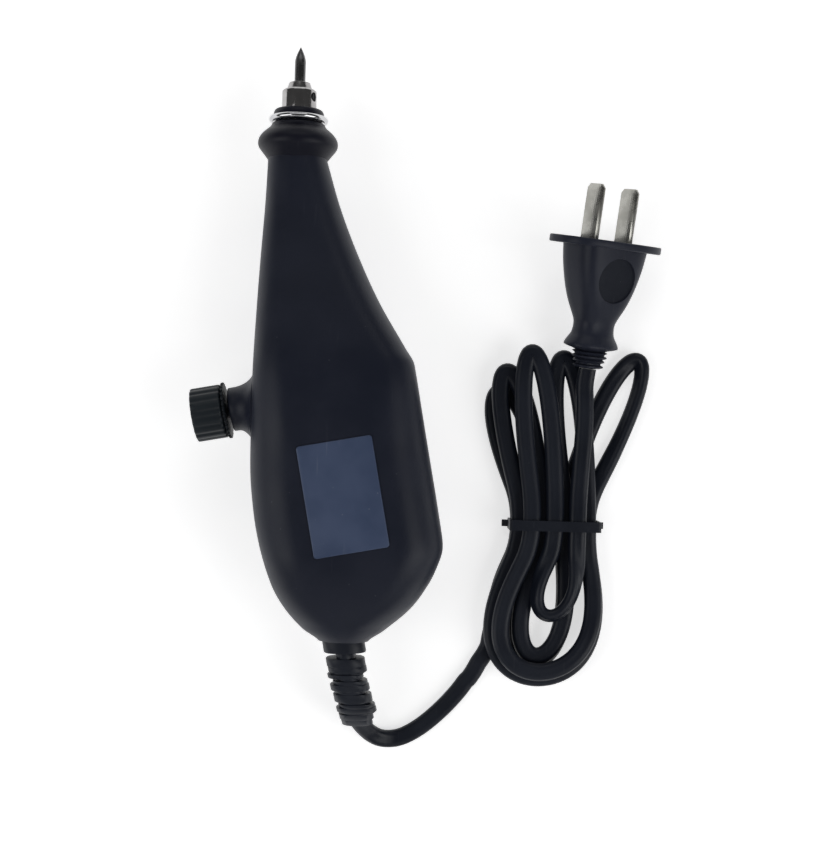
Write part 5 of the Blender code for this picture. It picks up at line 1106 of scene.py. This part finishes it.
# %% [markdown]
# ## Halves of the housing
# One grid per half is laid over the form: its first share runs over the section from side to side, the
# second from the neck to the tail. Solidify then gives the wall, so the rim where the halves meet is as
# thick as the real one.

# %% One half of the form
WALL = 0.0024
PARTING_EASE = 0.00025
TAIL_SHOWN = 0.977
SECTION_POINTS = 56
LENGTH_POINTS = 150
HOUSING_MIDDLE = Vector((RIGHT_REACH / 3, -LEFT_REACH, HALF_THICKNESS))


def section_point(share, station, up):
    """A point of the half section: up the right side, over the top and down the left side."""
    left, right = curve_value(LEFT_SIDE, station), curve_value(RIGHT_SIDE, station)
    height, half_width, middle = half_height(station), (right - left) / 2, (right + left) / 2
    corner = curve_value(SOFTNESS, station) * min(height, half_width)
    straight_up, bend = height - corner, corner * QUARTER
    total = 2 * straight_up + 2 * (half_width - corner) + 2 * bend
    walked, mirror = share * total, 1
    if walked > total / 2:
        walked, mirror = total - walked, -1
    if walked < straight_up:
        x, z = half_width, walked
    elif walked < straight_up + bend:
        angle = (walked - straight_up) / corner
        x, z = half_width - corner + corner * math.cos(angle), straight_up + corner * math.sin(angle)
    else:
        x, z = half_width - corner - (walked - straight_up - bend), height
    x, z = x - max(0.0, PARTING_EASE - z), max(z, GAP / 2)
    return Vector((middle + mirror * x, station_y(station), HALF_THICKNESS + up * z))


def housing_half(name, up, node_name):
    """The skin of one half with its end walls, drawn closer together towards the tail, and its thickness."""
    def place(u, v):
        return section_point(u, TAIL_SHOWN * (1 - (1 - v) ** 1.25), up)

    bm = on_grid(SECTION_POINTS, LENGTH_POINTS, place)
    for y in (NECK_FRONT, station_y(TAIL_SHOWN)):
        row = [v for v in bm.verts if abs(v.co.y - y) < MERGE]
        middle = sum(v.co.x for v in row) / len(row)
        row.sort(key=lambda v: math.atan2(abs(v.co.z - HALF_THICKNESS), v.co.x - middle))
        bm.faces.new(row)
    bmesh.ops.recalc_face_normals(bm, faces=bm.faces)
    outwards = [face.normal.dot(face.calc_center_median() - HOUSING_MIDDLE) > 0 for face in bm.faces]
    if sum(outwards) < len(outwards) / 2:
        bmesh.ops.reverse_faces(bm, faces=bm.faces)
    half = finish_piece(name, bm, HOUSING_BLACK, "black_moulding", (node_name,), sharp=40)
    wall = half.modifiers.new("Solidify", "SOLIDIFY")
    wall.thickness = WALL
    wall.offset = -1.0
    return half


housing_half("housing_label_half", 1, "front_shell")
back_half = housing_half("housing_back_half", -1, "back_shell")

# %% [markdown]
# ## The knob's boss
# Where the adjuster screw enters, the wall swells into a round boss with a wide flare, because a mould
# maker never leaves a sharp inner corner there. It is a lathe shape with a quarter circle for the flare,
# cut in two where the halves of the housing meet, and each half of it belongs to one half of the housing.

# %% Flared boss
BOSS_RADIUS = 0.0062
BOSS_FACE = 0.0141
BOSS_FLARE = 0.0053
BOSS_FLARE_START = 0.0127
BOSS_BORE = 0.0050
BOSS_EDGE = 0.0002
BOSS_ROOT = 0.0020
FLARE_STEPS = 14


def boss_half(up):
    wide = BOSS_RADIUS + BOSS_FLARE
    profile = [(BOSS_BORE, -BOSS_FACE + BOSS_FLARE), (BOSS_BORE, -BOSS_FACE)]
    profile += [(BOSS_RADIUS - BOSS_EDGE, -BOSS_FACE), (BOSS_RADIUS, -BOSS_FACE + BOSS_EDGE)]
    profile += arc((wide, -BOSS_FLARE_START), -BOSS_FLARE, BOSS_FLARE, 0, 1, FLARE_STEPS)
    profile.append((wide, BOSS_FLARE - BOSS_FLARE_START + BOSS_ROOT))
    bm = turn(profile, Matrix())
    for vert in bm.verts:
        towards_wall = eased((vert.co.z + BOSS_FACE) / BOSS_FLARE)
        vert.co.z += towards_wall * vert.co.y * math.tan(BODY_BEND)
    bm.transform(KNOB_FRAME)
    sliced(bm, (0, 0, HALF_THICKNESS + up * GAP / 2), (0, 0, up), clear=True)
    return bm


for side, up in (("label", 1), ("back", -1)):
    finish_piece(f"knob_boss_{side}", boss_half(up), HOUSING_BLACK, "black_moulding", sharp=50)

# %% [markdown]
# ## Label
# A rectangle of satin film on the flat of the body, left bare. Its outline is a rounded rectangle, filled,
# raised by the film's thickness, with the upper edge broken by a bevel so that it catches the light.

# %% Bare label
LABEL_WIDTH = 0.0208
LABEL_LENGTH = 0.0308
LABEL_THICKNESS = 0.0004
LABEL_CORNER = 0.0009
LABEL_EDGE = 0.00028
LABEL_CENTRE = (0.0141, -0.0141)
label_bm = bmesh.new()
label_low = HALF_THICKNESS + GAP / 3
label_outline = rounded(LABEL_WIDTH / 2, LABEL_LENGTH / 2, LABEL_CORNER)
label_top = raised(label_bm, [(x, y, label_low) for x, y in label_outline], (0, 0, LABEL_THICKNESS))
soften(label_bm, [edge for edge in label_bm.edges if all(v in label_top for v in edge.verts)], LABEL_EDGE)
label_bm.transform(BODY_FRAME @ shift((*LABEL_CENTRE, 0)))
finish_piece("bare_label", label_bm, LABEL_FILM, "label_film", ("rating_label",), sharp=60)

# %% [markdown]
# ## Nose
# From the neck forward: a soft rubber collar that the fingers rest against, a bright ring of chromed wire,
# and a rubber boot that keeps dust out. All of them are lathe shapes on the stylus axis. The collar's belly
# is a smooth curve through a few points.

# %% Collar, ring and boot
SPIGOT_BORE = 0.0060
COLLAR_RADIUS = 0.0113
COLLAR_LENGTH = 0.0096
COLLAR_LIP = 0.0083
COLLAR_EDGE = 0.0004
COLLAR_STEPS = 128
RING_RADIUS = 0.0084
RING_WIRE = 0.0017
RING_POINTS = 24
BOOT_RADIUS = 0.0072
BOOT_HEIGHT = 0.0036
BOOT_WALL = 0.0016
BOOT_POINTS = 8
# Shares of the collar's radius and of its length
COLLAR_SHARES = (
    (0.7434, -0.0729), (0.7965, 0.0104), (0.8584, 0.1042), (0.9292, 0.2083), (0.9823, 0.3021), (1.0, 0.4063),
    (0.9823, 0.5313), (0.9027, 0.6771), (0.7876, 0.8021), (0.6991, 0.8958), (0.6637, 0.9792),
)
COLLAR_CURVE = [(out * COLLAR_RADIUS, up * COLLAR_LENGTH) for out, up in COLLAR_SHARES]
NECK_FRAME = STYLUS_FRAME @ shift((0, 0, NECK_FRONT))
BOOT_FRAME = NECK_FRAME @ shift((0, 0, COLLAR_LENGTH + GAP))

collar_profile = [
    (SPIGOT_BORE, GAP), (COLLAR_LIP, GAP), (COLLAR_LIP, COLLAR_CURVE[0][1]), *even_path(COLLAR_CURVE, 40),
    (COLLAR_CURVE[-1][0] - COLLAR_EDGE, COLLAR_LENGTH), (SPIGOT_BORE, COLLAR_LENGTH),
]
wire = RING_WIRE / 2
ring_profile = arc((RING_RADIUS - wire, wire), wire, wire, 0, 4, RING_POINTS)[:-1]
boot_lip, boot_groove = BOOT_RADIUS - BOOT_WALL, RING_RADIUS - RING_WIRE - GAP
boot_profile = [(boot_lip, 0), (boot_groove, 0), (boot_groove, RING_WIRE), (BOOT_RADIUS, RING_WIRE + GAP / 3)]
boot_dome = ((BOOT_RADIUS - BOOT_WALL / 2, RING_WIRE), BOOT_WALL / 2, BOOT_HEIGHT - RING_WIRE)
boot_profile += [*arc(*boot_dome, 0, 1, BOOT_POINTS)[1:], (boot_lip, BOOT_HEIGHT), (boot_lip, BOOT_WALL / 2)]
NOSE_PIECES = (
    ("finger_collar", collar_profile, NECK_FRAME, COLLAR_STEPS, NOSE_RUBBER, "black_rubber", "nose_collar"),
    ("wire_ring", ring_profile, BOOT_FRAME, COLLAR_STEPS, CHROME, "chrome", "nose_ring"),
    ("dust_boot", boot_profile, BOOT_FRAME, TURN_STEPS, NOSE_RUBBER, "black_rubber", "nose_boot"),
)
for name, profile, place, steps, material, slot, node_name in NOSE_PIECES:
    finish_piece(name, turn(profile, place, closed=True, steps=steps), material, slot, (node_name,))

# %% [markdown]
# ## Chuck and needle
# The chuck is turned steel with a cone at its front, and the ground needle tapers to a fine point. A
# Boolean drills the hole for the screw that holds the needle.

# %% Chuck and needle
ROD_RADIUS = 0.0024
CHUCK_RADIUS = 0.0049
CHUCK_TIP_RADIUS = 0.0030
CHUCK_STEP = 0.0007
CHUCK_EDGE = 0.0005
CHUCK_BREAK = 0.00012
CHUCK_LENGTH = 0.0105
CHUCK_CONE = 0.0020
CHUCK_SOCKET = 0.0030
CHUCK_FRONT = NECK_FRONT + 0.0213
NEEDLE_RADIUS = 0.00155
NEEDLE_LENGTH = 0.0175
NEEDLE_POINT = 0.0042
NEEDLE_FLAT = 0.00004
NEEDLE_EDGE = 0.0002
NEEDLE_STEPS = 12
NEEDLE_TIP = NECK_FRONT + 0.0315
LOCK_SCREW_RADIUS = 0.0010
LOCK_SCREW_SETBACK = 0.0043
LOCK_SCREW_TILT = math.radians(28)
LOCK_FRAME = (
    STYLUS_FRAME @ shift((0, 0, CHUCK_FRONT - LOCK_SCREW_SETBACK)) @ spin("Z", -LOCK_SCREW_TILT)
    @ spin("Y", QUARTER)
)
LOCK_STEPS = 40

chuck_rear, cone_start = CHUCK_FRONT - CHUCK_LENGTH, CHUCK_FRONT - CHUCK_CONE
chuck_bore, needle_bore = ROD_RADIUS + GAP, NEEDLE_RADIUS + GAP
chuck_profile = (
    (chuck_bore, chuck_rear), (CHUCK_RADIUS, chuck_rear), (CHUCK_RADIUS, cone_start - CHUCK_EDGE),
    (CHUCK_RADIUS - CHUCK_EDGE, cone_start), (CHUCK_TIP_RADIUS + CHUCK_STEP, cone_start),
    (CHUCK_TIP_RADIUS, CHUCK_FRONT), (needle_bore, CHUCK_FRONT), (needle_bore, chuck_rear + CHUCK_SOCKET),
    (chuck_bore, chuck_rear + CHUCK_SOCKET),
)
needle_rear = NEEDLE_TIP - NEEDLE_LENGTH
needle_profile = [(0, needle_rear), (NEEDLE_RADIUS - NEEDLE_EDGE, needle_rear)]
needle_profile.append((NEEDLE_RADIUS, needle_rear + NEEDLE_EDGE))
for i in range(NEEDLE_STEPS + 1):
    part = i / NEEDLE_STEPS
    radius = max(NEEDLE_RADIUS * (1 - part**1.6), NEEDLE_FLAT)
    needle_profile.append((radius, NEEDLE_TIP - NEEDLE_POINT * (1 - part)))
needle_profile.append((0, NEEDLE_TIP))


def post(radius, low, high):
    """The profile of a plain round bar."""
    return ((0, low), (radius, low), (radius, high), (0, high))


chuck_bm = turn(chuck_profile, STYLUS_FRAME, soft=CHUCK_BREAK, closed=True)
chuck = finish_piece("turned_chuck", chuck_bm, TURNED_STEEL, "turned_steel", ("chuck",), "stylus")
lock_hole = post(LOCK_SCREW_RADIUS + GAP, NEEDLE_RADIUS + 1.5 * GAP, CHUCK_RADIUS + CHUCK_SOCKET)
cut_away(chuck, [turn(lock_hole, LOCK_FRAME, steps=LOCK_STEPS)])
needle_bm = turn(needle_profile, STYLUS_FRAME, steps=4 * NEEDLE_STEPS)
finish_piece("ground_needle", needle_bm, CARBIDE, "carbide", ("needle",), "stylus")

# %% [markdown]
# ## Lock screw
# A tiny slotted grub screw in the chuck's side holds the needle. The slot is cut out of a lathe shape.

# %% Grub screw
GRUB_EDGE = 0.0001
SLOT_HALF_LENGTH = 0.0020
SLOT_HALF_WIDTH = 0.0002
SLOT_DEPTH = 0.0005
lock_low, lock_high = NEEDLE_RADIUS + GAP, CHUCK_RADIUS + GAP / 3
grub_bm = turn(post(LOCK_SCREW_RADIUS, lock_low, lock_high), LOCK_FRAME, soft=GRUB_EDGE, steps=LOCK_STEPS)
grub = finish_piece("grub_screw", grub_bm, DARK_STEEL, "dark_steel", ("needle_lock_screw",), "needle_lock")
cut_away(grub, [block(
    (-SLOT_HALF_LENGTH, -SLOT_HALF_WIDTH, lock_high - SLOT_DEPTH),
    (SLOT_HALF_LENGTH, SLOT_HALF_WIDTH, lock_high + LOCK_SCREW_RADIUS), LOCK_FRAME, GRUB_EDGE / 5,
)])

# %% [markdown]
# ## Knob
# The stroke is set with a small black knob. Its rim has shallow round flutes for the fingertips, cut into a
# lathe shape by moving each point of the rim inwards by a wave.

# %% Fluted knob
KNOB_RADIUS = 0.00765
KNOB_LENGTH = 0.0086
KNOB_INNER_FACE = 0.0161
KNOB_FLUTES = 18
KNOB_FLUTE_DEPTH = 0.0003
KNOB_EDGE = 0.0005
KNOB_REAR_EDGE = 0.0004
KNOB_DISH_RADIUS = 0.0046
KNOB_DISH_SLOPE = 0.0006
RIM_START = 0.0012
RIM_EASE = 0.0010


def cut_round(bm, depth):
    """Moves each point towards the axis by depth(radius, angle)."""
    for vert in bm.verts:
        radius = vert.co.xy.length
        if radius > 0:
            kept = 1 - depth(radius, math.atan2(vert.co.y, vert.co.x)) / radius
            vert.co.x *= kept
            vert.co.y *= kept


def flute_depth(radius, angle):
    on_rim = eased((radius - KNOB_RADIUS + RIM_START) / RIM_EASE)
    wave = 0.5 - 0.5 * math.cos(KNOB_FLUTES * angle)
    return KNOB_FLUTE_DEPTH * on_rim * wave**2


outer, inner = -KNOB_INNER_FACE - KNOB_LENGTH, -KNOB_INNER_FACE
dish = outer + KNOB_EDGE
knob_profile = [(0, dish), (KNOB_DISH_RADIUS - KNOB_DISH_SLOPE, dish), (KNOB_DISH_RADIUS, outer)]
knob_profile += arc((KNOB_RADIUS - KNOB_EDGE, dish), KNOB_EDGE, KNOB_EDGE, -1, 0, 5)
knob_profile += [(KNOB_RADIUS, outer + KNOB_LENGTH * part) for part in (0.3, 0.5, 0.7, 0.9)]
knob_profile += [(KNOB_RADIUS, inner - KNOB_REAR_EDGE), (KNOB_RADIUS - KNOB_REAR_EDGE, inner), (0, inner)]
knob_bm = turn(knob_profile, Matrix(), steps=KNOB_FLUTES * 10)
cut_round(knob_bm, flute_depth)
knob_bm.transform(KNOB_FRAME)
finish_piece("fluted_knob", knob_bm, KNOB_BLACK, "black_moulding", ("knob",), "knob_body", sharp=50)

# %% [markdown]
# ## Washer
# A thin toothed washer lies under the knob. Its teeth come from the same move of points towards the axis.

# %% Toothed washer
WASHER_RADIUS = 0.0080
WASHER_THICKNESS = 0.0007
WASHER_EDGE = 0.0001
WASHER_TEETH = 30
TOOTH_SHARE = 0.05
ADJUSTER_SCREW_RADIUS = 0.0020
washer_near = -KNOB_INNER_FACE + GAP
washer_far = washer_near + WASHER_THICKNESS
washer_bore = ADJUSTER_SCREW_RADIUS + GAP


def tooth_depth(radius, angle):
    share = (angle / (2 * math.pi) * WASHER_TEETH) % 1.0
    return TOOTH_SHARE * radius if radius > WASHER_RADIUS * 0.8 and 0.25 < share < 0.8 else 0


washer_profile = (
    (washer_bore, washer_near), (WASHER_RADIUS, washer_near), (WASHER_RADIUS, washer_far),
    (washer_bore, washer_far),
)
washer_bm = turn(washer_profile, Matrix(), soft=WASHER_EDGE, closed=True, steps=WASHER_TEETH * 8)
cut_round(washer_bm, tooth_depth)
washer_bm.transform(KNOB_FRAME)
finish_piece("toothed_washer", washer_bm, WASHER_BLACK, "dark_steel", ("knob_washer",), "knob_body")

# %% [markdown]
# ## Spring
# A light coil spring between the boss and the washer takes the play out of the screw.

# %% Coil spring
SPRING_COIL_RADIUS = 0.0044
SPRING_WIRE_RADIUS = 0.00035
SPRING_TURNS = 4
SPRING_SEAT = 0.0108
spring_start = washer_far + GAP + SPRING_WIRE_RADIUS
spring_end = -SPRING_SEAT - GAP - SPRING_WIRE_RADIUS


def spring_place(u, v):
    along, round_wire = 2 * math.pi * SPRING_TURNS * v, 2 * math.pi * u
    reach = SPRING_COIL_RADIUS + SPRING_WIRE_RADIUS * math.cos(round_wire)
    height = spring_start + (spring_end - spring_start) * v + SPRING_WIRE_RADIUS * math.sin(round_wire)
    return Vector((reach * math.cos(along), reach * math.sin(along), height))


spring_bm = ends_filled(on_grid(12, SPRING_TURNS * 36, spring_place, closed=True))
spring_bm.transform(KNOB_FRAME)
spring = finish_piece("coil_spring", spring_bm, DARK_STEEL, "spring_steel", ("knob_spring",))
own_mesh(spring)

# %% [markdown]
# ## Recesses in the back
# Four screws, deep in round recesses, hold the halves together. A Boolean cuts the recess through the wall,
# and a lathe-turned cup, the moulded post, lines it down to the screw's seat. Rays cast up from the bench
# find the back's skin, so the cup's rim can follow the rounded corner.

# %% Recesses and posts
SCREW_HEAD_RADIUS = 0.0028
SCREW_HEAD_HEIGHT = 0.0020
SCREW_RECESS = 0.0040
SCREW_STEPS = 64
SEAT_RADIUS = 0.0018
SEAT_THICKNESS = 0.0012
POST_RADIUS = 0.0036
CUP_RIM_SETBACK = 0.0004
CUP_EDGE = 0.00005
OVERRUN = 0.0010
screw_boxes = [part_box(f"housing_screw_{number}") for number in range(1, 5)]
screw_spots = [((low.x + high.x) / 2, (low.y + high.y) / 2, low.z) for low, high in screw_boxes]
recess_radius = SCREW_HEAD_RADIUS + GAP
back_skin = BVHTree.FromObject(back_half, bpy.context.evaluated_depsgraph_get())


def back_outside(y):
    if y > SHOULDER:
        share = TAPER_SHARE * (NECK_FRONT - y) / (NECK_FRONT - SHOULDER)
    else:
        share = TAPER_SHARE + (1 - TAPER_SHARE) * (SHOULDER - y) / (SHOULDER - TAIL_REAR)
    return HALF_THICKNESS - half_height(share)


def skin_rise(x, y):
    """How much higher the back's skin is here than along its middle."""
    spot = back_skin.ray_cast(Vector((x, y, -POST_RADIUS)), Vector((0, 0, 1)))[0]
    return max(spot.z - back_outside(y), 0) if spot else 0


holes, cups = [], bmesh.new()
for x, y, _ in screw_spots:
    outside = back_outside(y)
    rim, seat = outside + CUP_RIM_SETBACK, outside + SCREW_RECESS + SCREW_HEAD_HEIGHT
    place = shift((x, y, 0))
    holes.append(turn(post(recess_radius, outside - OVERRUN, seat + OVERRUN), place, steps=SCREW_STEPS))
    above = seat + SEAT_THICKNESS
    cup_profile = (
        (recess_radius, rim), (recess_radius, seat), (SEAT_RADIUS, seat), (SEAT_RADIUS, above),
        (POST_RADIUS, above), (POST_RADIUS, rim),
    )
    cup = turn(cup_profile, place, soft=CUP_EDGE, closed=True, steps=SCREW_STEPS)
    for vert in cup.verts:
        if vert.co.z < rim + CUP_RIM_SETBACK:
            vert.co.z += skin_rise(vert.co.x, vert.co.y)
    added(cups, cup)
cut_away(back_half, holes, sharp=40)
finish_piece("screw_cups", cups, HOUSING_BLACK, "black_moulding")

# %% [markdown]
# ## Cross-head screws
# Each screw has a domed head that looks down, and two crossed blocks cut its drive.

# %% Cross-head screws
HEAD_DOME = 0.0009
HEAD_POINTS = 6
SHANK_RADIUS = 0.0015
SHANK_END = 0.0120
SHANK_TIP = 0.0135
CROSS_HALF_LENGTH = 0.0015
CROSS_HALF_WIDTH = 0.0003
CROSS_DEPTH = 0.0011
screw_profile = [(0, 0)]
for i in range(1, HEAD_POINTS + 1):
    angle = QUARTER * i / HEAD_POINTS
    screw_profile.append((SCREW_HEAD_RADIUS * math.sin(angle), HEAD_DOME * (1 - math.cos(angle))))
screw_profile += [(SCREW_HEAD_RADIUS, SCREW_HEAD_HEIGHT), (SHANK_RADIUS, SCREW_HEAD_HEIGHT)]
screw_profile += [(SHANK_RADIUS, SHANK_END), (0, SHANK_TIP)]
cross = (
    (-CROSS_HALF_LENGTH, -CROSS_HALF_WIDTH, -OVERRUN), (CROSS_HALF_LENGTH, CROSS_HALF_WIDTH, CROSS_DEPTH),
)
for number, spot in enumerate(screw_spots, start=1):
    place = shift(spot)
    screw = finish_piece(
        f"cross_head_screw_{number}", turn(screw_profile, place, steps=SCREW_STEPS), DARK_STEEL, "dark_steel",
        (f"housing_screw_{number}",),
    )
    turned = math.radians(25 * number)
    cut_away(screw, [block(*cross, place @ spin("Z", turned + more), CUP_EDGE) for more in (0, QUARTER)])

# %% [markdown]
# ## Parts under the skin
# The electromagnet, its coil, the armature on its reed, the bushings, the clamp and the leads are closed in,
# and their solids are already right. They keep their shapes and get the finishes of the workshop.

# %% Finishes for the solids that stay
INNER_FINISHES = (
    (BRASS, ("front_bushing", "rear_bushing", "adjuster_nut", "stop_cone")),
    (CORE_IRON, ("magnet_core", "armature")),
    (SPRING_STEEL, ("leaf_spring",)),
    (NATURAL_NYLON, ("coil_bobbin", "cord_clamp")),
    (COIL_COPPER, ("coil_winding",)),
    (TURNED_STEEL, ("core_screw_left", "core_screw_right", "reed_bracket", "rod_link", "drive_rod")),
    (TURNED_STEEL, ("armature_rivet_1", "armature_rivet_2")),
    (DARK_STEEL, ("reed_screw_1", "reed_screw_2", "cord_screw_left", "cord_screw_right")),
    (ADJUSTER_STEEL, ("adjuster_screw",)),
    (RED_LEAD, ("lead_wire_left",)),
    (BLUE_LEAD, ("lead_wire_right",)),
    (CORD_VINYL, ("cord_tail",)),
)
for material, names in INNER_FINISHES:
    for name in names:
        nodes[name].data.materials.clear()
        nodes[name].data.materials.append(material)
    print(material.name, "on", len(names))

# %% [markdown]
# ## Floor
# The pen lies on a plain white sheet, which glows a little so that it stays white under weak lamps. The
# sheet reaches far out, so its edge isn't seen from the side either.

# %% White sheet
PAPER_GLOW = 0.63
SHEET_HALF = 5.0
floor_bm = bmesh.new()
bmesh.ops.create_grid(floor_bm, x_segments=1, y_segments=1, size=SHEET_HALF)
floor = linked("white_sheet", mesh_from(floor_bm, "white_sheet"))
paper = moulded(
    "white paper", (0.88, 0.88, 0.88), (0.86, 0.86, 0.865), (0.90, 0.90, 0.90),
    rough=0.8, grains=1500, depth=10, scuffs=0.0, dust=0.0,
)
put(paper.node_tree, paper.node_tree.nodes["Principled BSDF"].inputs, {
    "Emission Color": (1.0, 1.0, 1.0, 1.0), "Emission Strength": PAPER_GLOW,
})
floor.data.materials.append(paper)

# %% [markdown]
# ## Lamps and room
# Wide soft lamps stand at the four sides and a little overhead, but nothing bright hangs straight above,
# where the camera is: the flat of the housing stays dark and only its round sides catch the lamps, as they
# do in the photograph. The room itself lights little, and looks white only where the camera sees it.

# %% Soft lamps and a pale room
MIDDLE = Vector((0.035, 0.0, 0.0))
# Place, width and height in metres, and watts
LAMPS = {
    "left_lamp": ((-0.72, -0.16, 0.66), (0.6, 0.9), 2.9),
    "right_lamp": ((0.78, -0.30, 0.66), (0.6, 0.8), 3.5),
    "far_lamp": ((0.05, 0.95, 0.75), (1.2, 0.4), 2.1),
    "near_lamp": ((0.05, -0.95, 0.75), (1.2, 0.4), 1.3),
}
for name, (place, size, power) in LAMPS.items():
    data = bpy.data.lights.new(name, "AREA")
    data.shape = "RECTANGLE"
    data.size, data.size_y = size
    data.energy = power
    lamp = linked(name, data)
    lamp.location = place
    lamp.rotation_euler = (MIDDLE - Vector(place)).to_track_quat("-Z", "Y").to_euler()

ROOM_LIGHT = 0.08
world = bpy.data.worlds.new("pale room")
world.use_nodes = True
seen = node(world.node_tree, "ShaderNodeLightPath").outputs["Is Camera Ray"]
put(world.node_tree, world.node_tree.nodes["Background"].inputs, {
    "Color": (1.0, 1.0, 1.0, 1.0), "Strength": ramp(world.node_tree, seen, 0.0, 1.0, ROOM_LIGHT, 1.0),
})
bpy.context.scene.world = world
